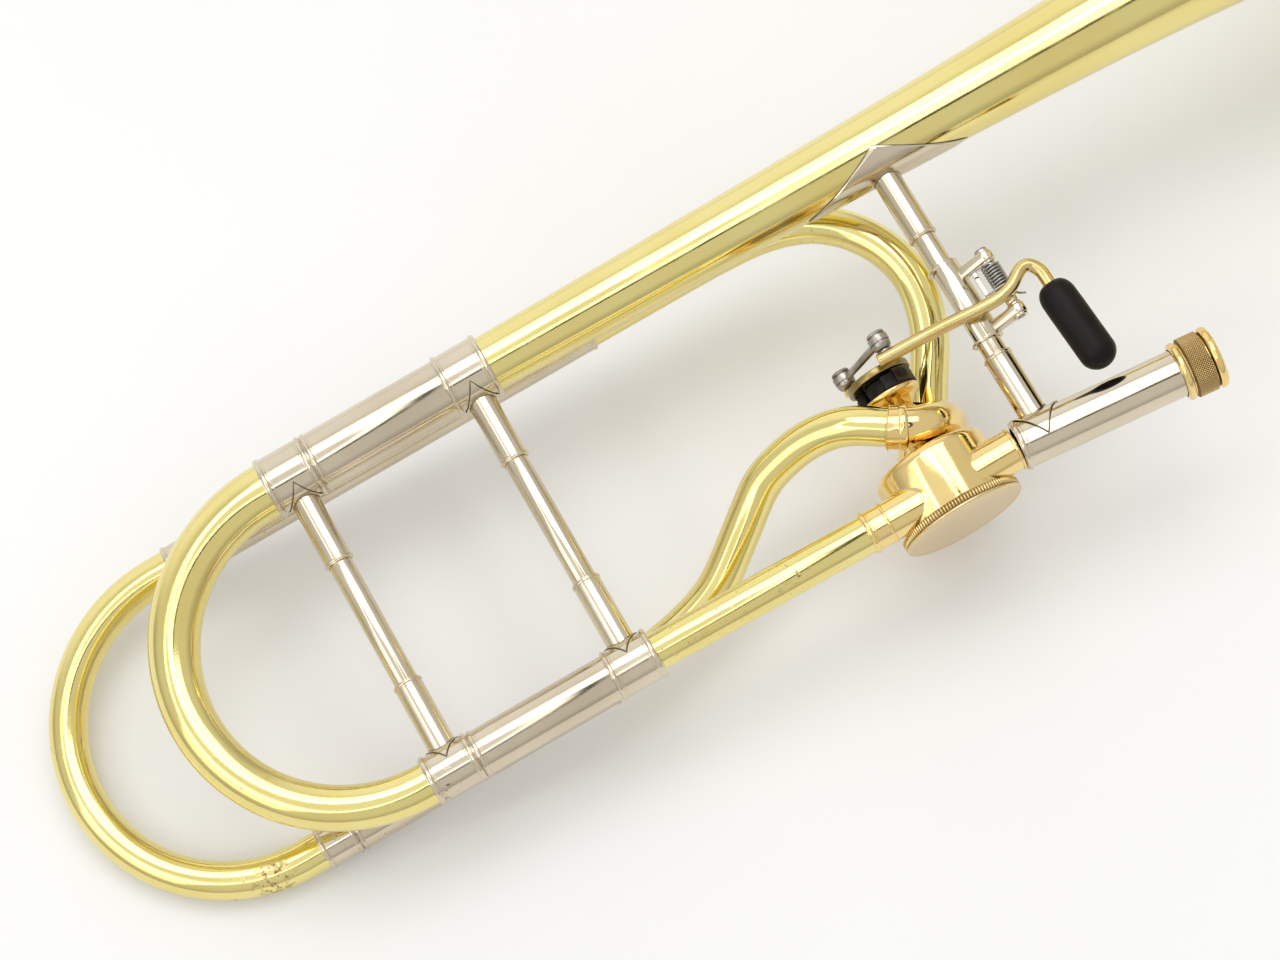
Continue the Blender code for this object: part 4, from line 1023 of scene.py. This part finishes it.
def band_on(name, path, start, radius):
    """A sleeve with a bead at each end, from a share of the way along a bent pipe to its end."""
    count = 96
    points = []
    for i in range(count + 1):
        at = (start + (1 - start) * i / count) * (len(path) - 1)
        k = min(int(at), len(path) - 2)
        points.append(path[k].lerp(path[k + 1], at - k))
    length = sum((after - before).length for before, after in zip(points, points[1:]))

    def radius_at(share):
        rim = min(share, 1 - share) * length
        bead_height = 0.45 * sqrt(max(0.0, 1 - ((rim - 0.8) / 0.75) ** 2))
        return radius + bead_height - 0.3 * max(0.0, 1 - rim / 0.3)

    pipe(name, points, radius_at, TUBE_SIDES, ROSE)


def make_f_attachment():
    path = [Vector((-43.4 - i * 3.0, F_UPPER_Y, F_Z)) for i in range(3)]
    path += half_circle(F_BOW_X, F_LOWER_Y + F_RADIUS, F_Z, F_RADIUS)
    path += [Vector((-49.4 + i * 3.0, F_LOWER_Y, F_Z)) for i in range(3)]
    pipe("f_bow_skin", path, F_TUBE_R, TUBE_SIDES, "f_bow_brass")
    for side, place, end in (("upper", F_UPPER, 126.0), ("lower", F_LOWER, 70.0)):
        marks = ((-45.5, 0.5, 0.75), (-44.3, -0.08, 0.2), (-34.4, 0.4, 0.65))
        lathe(
            "f_ferrule_skin_" + side, sleeve(-46.5, -33.4, 7.75, 7.05, marks), TUBE_SIDES, place, X,
            NICKEL, ["f_bow_ferrule_" + side],
        )
        lathe("f_inner_skin_" + side, sleeve(-43.0, 50.0, 6.9, 6.4), TUBE_SIDES, place, X, NICKEL)
        marks = ((-32.2, 0.4, 0.65), (end - 0.9, 0.4, 0.65), (end - 2.2, -0.08, 0.2))
        lathe(
            "f_outer_skin_" + side, sleeve(-33.0, end, 7.7, 7.25, marks), TUBE_SIDES, place, X, NICKEL
        )
    for side, knots in (("lower", LOWER_CROOK), ("upper", UPPER_CROOK)):
        pipe("f_crook_skin_" + side, curve_through(knots, 10), F_TUBE_R, TUBE_SIDES, BRASS)
    for side, knots, bare in (("lower", LOWER_PORT, 0.87), ("upper", UPPER_PORT, 0.88)):
        path = curve_through(knots, 10, 12)
        pipe("f_port_skin_" + side, path, F_PORT_R, TUBE_SIDES, ROSE)
        band_on("f_crook_ferrule_" + side, path, bare, F_CROOK_FERRULE_R)
    top = Vector((BRACE_2_X, LEG_SPACING, 0.0))
    run = Vector((BRACE_2_X, F_UPPER_Y, F_Z)) - top
    reach = run.length
    stay = [(0.0, 11.3), (3.4, 11.5), (2.6, 12.4), (2.0, 13.8), (2.0, reach - 10.6), (2.6, reach - 9.2)]
    stay += [(3.4, reach - 7.8), (0.0, reach - 7.7)]
    lathe("f_stay_skin", eased(stay, 0.6), STAY_SIDES, top, run, NICKEL)


# ---- thumb lever

ARM_UPPER_Y = 61.0
ARM_LOWER_Y = 39.0


def arm_outline(root_half, tip_half, length):
    """A hinge arm seen from its side: a straight root and a round tip."""
    turns = [radians(90 - 180 * i / 16) for i in range(17)]
    tip = [(length + tip_half * cos(t), tip_half * sin(t)) for t in turns]
    return ([(-1.2, -root_half), (-1.2, root_half)] + tip)[::-1]


def make_lever_mount():
    """The trough on the hand brace, its two hinge arms and the hinge screw."""
    around = boxed(4.5, 5.95, 36.0, 68.0, 0.3, 2)
    mesh = ring_block("lever_saddle_skin", around, X * BRACE_3_X, -60.0, 120.0, 36)
    piece("lever_saddle_skin", mesh, NICKEL)
    for y in (36.9, 67.1):
        name, at = f"saddle_edge_{int(y)}", (BRACE_3_X, y, 0.0)
        lathe(name, bead_ring(5.85, 0.12), STAY_SIDES, at, Y, NICKEL)
    root = Vector((BRACE_3_X + 4.9, 0.0, 2.8))
    tip = Vector((HINGE.x, 0.0, HINGE.z))
    along = (tip - root).normalized()
    up = Y.cross(along)
    for name, y in (("lever_arm_upper", ARM_UPPER_Y), ("lever_arm_lower", ARM_LOWER_Y)):
        outline = arm_outline(2.5, 3.2, (tip - root).length)
        mesh = plate(name, outline, 4.0, root + Y * y, along, up, 0.7)
        piece(name, mesh, NICKEL)
        collar = eased([(1.4, -2.7), (2.7, -2.7), (2.7, 2.7), (1.4, 2.7)], 0.3)
        lathe(name + "_collar", collar, STAY_SIDES, tip + Y * y, Y, NICKEL)
    low, high = ARM_LOWER_Y - 2.9, ARM_UPPER_Y + 2.6
    rod = [(0.0, low), (1.05, low), (1.05, high), (0.0, high)]
    lathe("hinge_rod_skin", rod, SMALL_SIDES, tip, Y, "steel", ["lever_hinge_rod"])
    screw = lathe("hinge_screw_head", slotted_head(2.3, 1.1), STAY_SIDES, tip + Y * high, Y, "steel")
    cut_slot(screw, tip + Y * (ARM_UPPER_Y + 3.8), Y, along, 5.0, 0.6, 0.55)
    outline = [(-0.8, -7.0), (0.8, -7.0), (0.8, 7.0), (-0.8, 7.0)]
    strip = plate("spring_rest", outline, 1.0, (BRACE_3_X + 7.4, 51.8, 6.0), X, Y, 0.25)
    piece("spring_rest", strip, NICKEL)


def bead_ring(radius, height):
    """A closed round bead that sits on a tube of this radius."""
    turns = [radians(a) for a in range(0, 360, 24)]
    return [(radius - 0.3 + (height + 0.3) * cos(t), 0.55 * sin(t)) for t in turns]


def make_lever():
    knots = (
        (205.6, 48.0, 6.5), (229.0, 46.6, 9.2), (243.8, 44.8, 11.4), (251.8, 44.7, 12.0),
        (256.7, 45.9, 12.0), (260.0, 48.0, 11.6), (263.4, 50.3, 10.8), (266.6, 50.2, 10.2),
        (268.9, 46.9, 9.6), (269.3, 43.0, 9.2), (269.4, 35.4, 8.8),
    )
    path = curve_through(knots, 12, 20)
    pipe("lever_rod_skin", path, LEVER_ROD_R, STAY_SIDES, "aged_brass", round_ends=0.5)
    tube = sleeve(ARM_LOWER_Y + 2.9, ARM_UPPER_Y - 2.9, 2.25, 1.4, ((48.2, 0.35, 0.5),))
    lathe("hinge_tube_skin", tube, STAY_SIDES, (HINGE.x, 0.0, HINGE.z), Y, NICKEL, ["lever_hinge_tube"])
    post = eased([(0.0, 0.0), (2.9, 0.0), (2.4, 2.0), (2.2, 5.0), (0.0, 5.0)], 0.4)
    lathe(
        "lever_post", post, SMALL_SIDES, (HINGE.x, 45.6, HINGE.z - 0.4), Z, "aged_brass",
        body="thumb_lever",
    )
    top = Vector((269.3, 39.0, 9.0))
    run = Vector((271.0, 10.6, 8.0)) - top
    length = run.length
    side = [(0.0, -1.2), (2.7, -1.5)]
    turns = [radians(a) for a in range(12, 91, 6)]
    side += [(2.7 + 3.95 * sin(t), 4.3 - 6.1 * cos(t)) for t in turns]
    side += [(GRIP_R, 4.3 + (length - 5.6) * i / 6) for i in range(1, 7)]
    turns = [radians(a) for a in range(6, 90, 6)]
    side += [(GRIP_R * cos(t), length - 1.3 + 6.2 * sin(t)) for t in turns]
    side += [(0.0, length + 4.9)]
    lathe("thumb_grip_skin", side, TUBE_SIDES, top, run, "grip_plastic")
    stud = eased([(0.0, 49.6), (2.2, 49.6), (2.2, 50.4), (1.4, 50.9), (1.4, 55.2), (0.0, 55.2)], 0.2)
    lathe(
        "lever_stud_skin", stud, SMALL_SIDES, (BALL_LEVER.x, 0.0, BALL_LEVER.z), Y, "steel",
        ["lever_ball_stud"],
    )


def make_spring():
    """The return spring's coil with its two legs, and the short wire end at the hinge."""
    turns, each, radius = 8, 24, 3.1
    start, end = 48.6, 58.0
    path = [HINGE + Vector((-7.2, start - 50.4, 2.4)), HINGE + Vector((-2.0, start - 50.2, 3.2))]
    for i in range(turns * each + 1):
        turn = radians(90) - 2 * pi * i / each
        along = start + (end - start) * i / (turns * each) - HINGE.y
        path.append(HINGE + Vector((radius * cos(turn), along, radius * sin(turn))))
    path += [HINGE + Vector((-2.5, end - 49.8, 3.3)), HINGE + Vector((-8.4, end - 50.2, 2.2))]
    pipe("return_spring_coil", path, SPRING_WIRE_R, WIRE_SIDES, "spring_steel", ["return_spring"])
    knots = ((257.4, 47.4, 3.6), (259.0, 45.2, 4.4), (260.4, 43.8, 5.6), (260.8, 43.0, 7.4))
    tail = curve_through(knots, 8, 4)
    wire_r = SPRING_WIRE_R + 0.02
    pipe("return_spring_tail", tail, wire_r, WIRE_SIDES, "spring_steel", round_ends=0.2)


# ---- linkage


def make_link():
    wheel_ball = polar(STOP_ARM_R, STOP_ARM_ANGLE, BALL_Y)
    way = (wheel_ball - BALL_LEVER).normalized()
    length = (wheel_ball - BALL_LEVER).length
    side = [(0.0, -3.25), (1.9, -3.25), (2.6, -3.1), (3.2, -2.5), (3.45, -1.7), (3.5, -1.0)]
    side += [(3.15, -0.9), (3.15, -0.6), (3.7, -0.5), (3.75, 0.6), (3.7, 1.7), (3.45, 1.9)]
    side += [(2.8, 2.0), (2.8, 2.35), (3.3, 2.45), (3.4, 2.9), (3.1, 3.4), (2.2, 3.6), (0.0, 3.65)]
    for name, at in (("link_barrel_lever", BALL_LEVER), ("link_barrel_wheel", wheel_ball)):
        node = "link_socket_lever" if at is BALL_LEVER else "link_socket_wheel"
        lathe(name, side, STAY_SIDES, at, Y, "steel", [node], sharp=28.0)
    path = [BALL_LEVER + way * (BALL_R - 0.8 + (length - 2 * BALL_R + 1.6) * i / 12) for i in range(13)]
    pipe("link_rod_skin", path, lambda t: 2.0 - 0.2 * t, SMALL_SIDES, "steel", flat=0.7)


# ---- the studio


def make_floor():
    shape = bmesh.new()
    bmesh.ops.create_grid(shape, x_segments=8, y_segments=8, size=14.0)
    mesh = bpy.data.meshes.new("floor")
    shape.to_mesh(mesh)
    shape.free()
    floor = new_object("floor", mesh)
    n = Nodes(bpy.data.materials.new("floor_paper"))
    cloud = n.remap(n.noise(3.0, 3.0), 0.3, 0.7)
    n.shade("Base Color", n.mix(cloud, (0.80, 0.80, 0.795), (0.83, 0.832, 0.83)))
    n.shader.inputs["Roughness"].default_value = 0.7
    n.shader.inputs["Specular IOR Level"].default_value = 0.2
    n.shade("Normal", n.bump(n.noise(900.0, 2.0), 0.0001, 0.1))
    n.shader.inputs["Emission Color"].default_value = (1.0, 1.0, 1.0, 1.0)
    n.shader.inputs["Emission Strength"].default_value = 0.06
    mesh.materials.append(n.owner)


def area_light(name, at, size, power):
    """A soft rectangular lamp that looks at the origin."""
    data = bpy.data.lights.new(name, "AREA")
    data.shape = "RECTANGLE"
    data.size, data.size_y = size
    data.energy = power
    lamp = new_object(name, data)
    lamp.location = at
    lamp.rotation_euler = (-Vector(at)).to_track_quat("-Z", "Y").to_euler()


# What the metal mirrors, as linear colours.
WALL_LOW = (0.50, 0.49, 0.47)
WALL_HIGH = (0.74, 0.73, 0.71)
PANEL = (1.05, 1.05, 1.05)
LAMP_CENTRE = (0.95, 0.95, 0.94)
LAMP_RING = (2.4, 2.4, 2.4)
LAMP_RIM = (0.02, 0.018, 0.016)
BACKDROP = (0.80, 0.80, 0.80)


def make_world():
    """A white tent: pale walls, bright top panels, and dark gaps that the metal mirrors."""
    world = bpy.data.worlds.new("studio")
    bpy.context.scene.world = world
    n = Nodes(world, "Generated")

    def facing(direction, inner, outer):
        """1 within an angle of a direction, falling to 0 at a wider one (degrees)."""
        dot = n.vector("DOT_PRODUCT", n.place, Vector(direction).normalized(), "Value")
        return n.remap(dot, cos(radians(outer)), cos(radians(inner)))

    def ring(direction, inner, outer, soft):
        """1 between two angles round a direction (degrees)."""
        outside_hole = n.math("SUBTRACT", 1.0, facing(direction, inner - soft, inner))
        return n.math("MULTIPLY", facing(direction, outer, outer + soft), outside_hole)

    sky = n.mix(facing(TURN @ Z, 58.0, 84.0), WALL_LOW, WALL_HIGH)
    sky = n.mix(facing(TURN @ Vector((0.0, 1.0, 0.12)), 22.0, 50.0), sky, PANEL)
    lamp = TURN @ Vector((-0.25, 0.02, 0.968))
    sky = n.mix(facing(lamp, 16.0, 20.0), sky, LAMP_CENTRE)
    sky = n.mix(ring(lamp, 20.0, 24.0, 2.0), sky, LAMP_RING)
    near_camera = facing(TURN @ Vector((0.12, -0.10, 0.988)), 20.0, 32.0)
    rim = n.math("MULTIPLY", ring(lamp, 26.5, 29.5, 1.2), near_camera)
    sky = n.mix(rim, sky, LAMP_RIM)
    seen = n.add("ShaderNodeLightPath").outputs["Is Camera Ray"]
    back = n.tree.nodes["Background"]
    n.feed(back.inputs["Color"], n.mix(seen, sky, BACKDROP))
    back.inputs["Strength"].default_value = 1.0


CAMERA_AT = Vector((71.767, -283.120, 1224.797))
CAMERA_X = Vector((0.86600321, -0.48875758, -0.10561472))
CAMERA_BACK = Vector((-0.03290433, -0.26645594, 0.96328528))
LENS_MM = 103.155
SENSOR_MM = 36.0


def make_camera():
    data = bpy.data.cameras.new("camera")
    data.lens = LENS_MM
    data.sensor_width = SENSOR_MM
    data.clip_start = 0.01
    data.clip_end = 100.0
    camera = new_object("camera", data)
    turn = Matrix((CAMERA_X, CAMERA_BACK.cross(CAMERA_X), CAMERA_BACK)).transposed()
    camera.matrix_world = PLACE @ Matrix.Translation(CAMERA_AT * MM) @ turn.to_4x4()
    bpy.context.scene.camera = camera


make_camera()
make_bell()
make_tuning_slide()
make_outer_tubes()
make_braces()
make_valve()
make_rotor()
make_bumpers()
make_receiver()
make_f_attachment()
make_lever_mount()
make_lever()
make_spring()
make_link()
make_floor()
make_world()
area_light("top_panel", (0.15, 0.5, 1.9), (1.6, 1.0), 10.0)
area_light("side_panel", (-1.6, -0.3, 1.2), (1.2, 1.2), 4.0)
bpy.context.scene.view_settings.view_transform = "Standard"
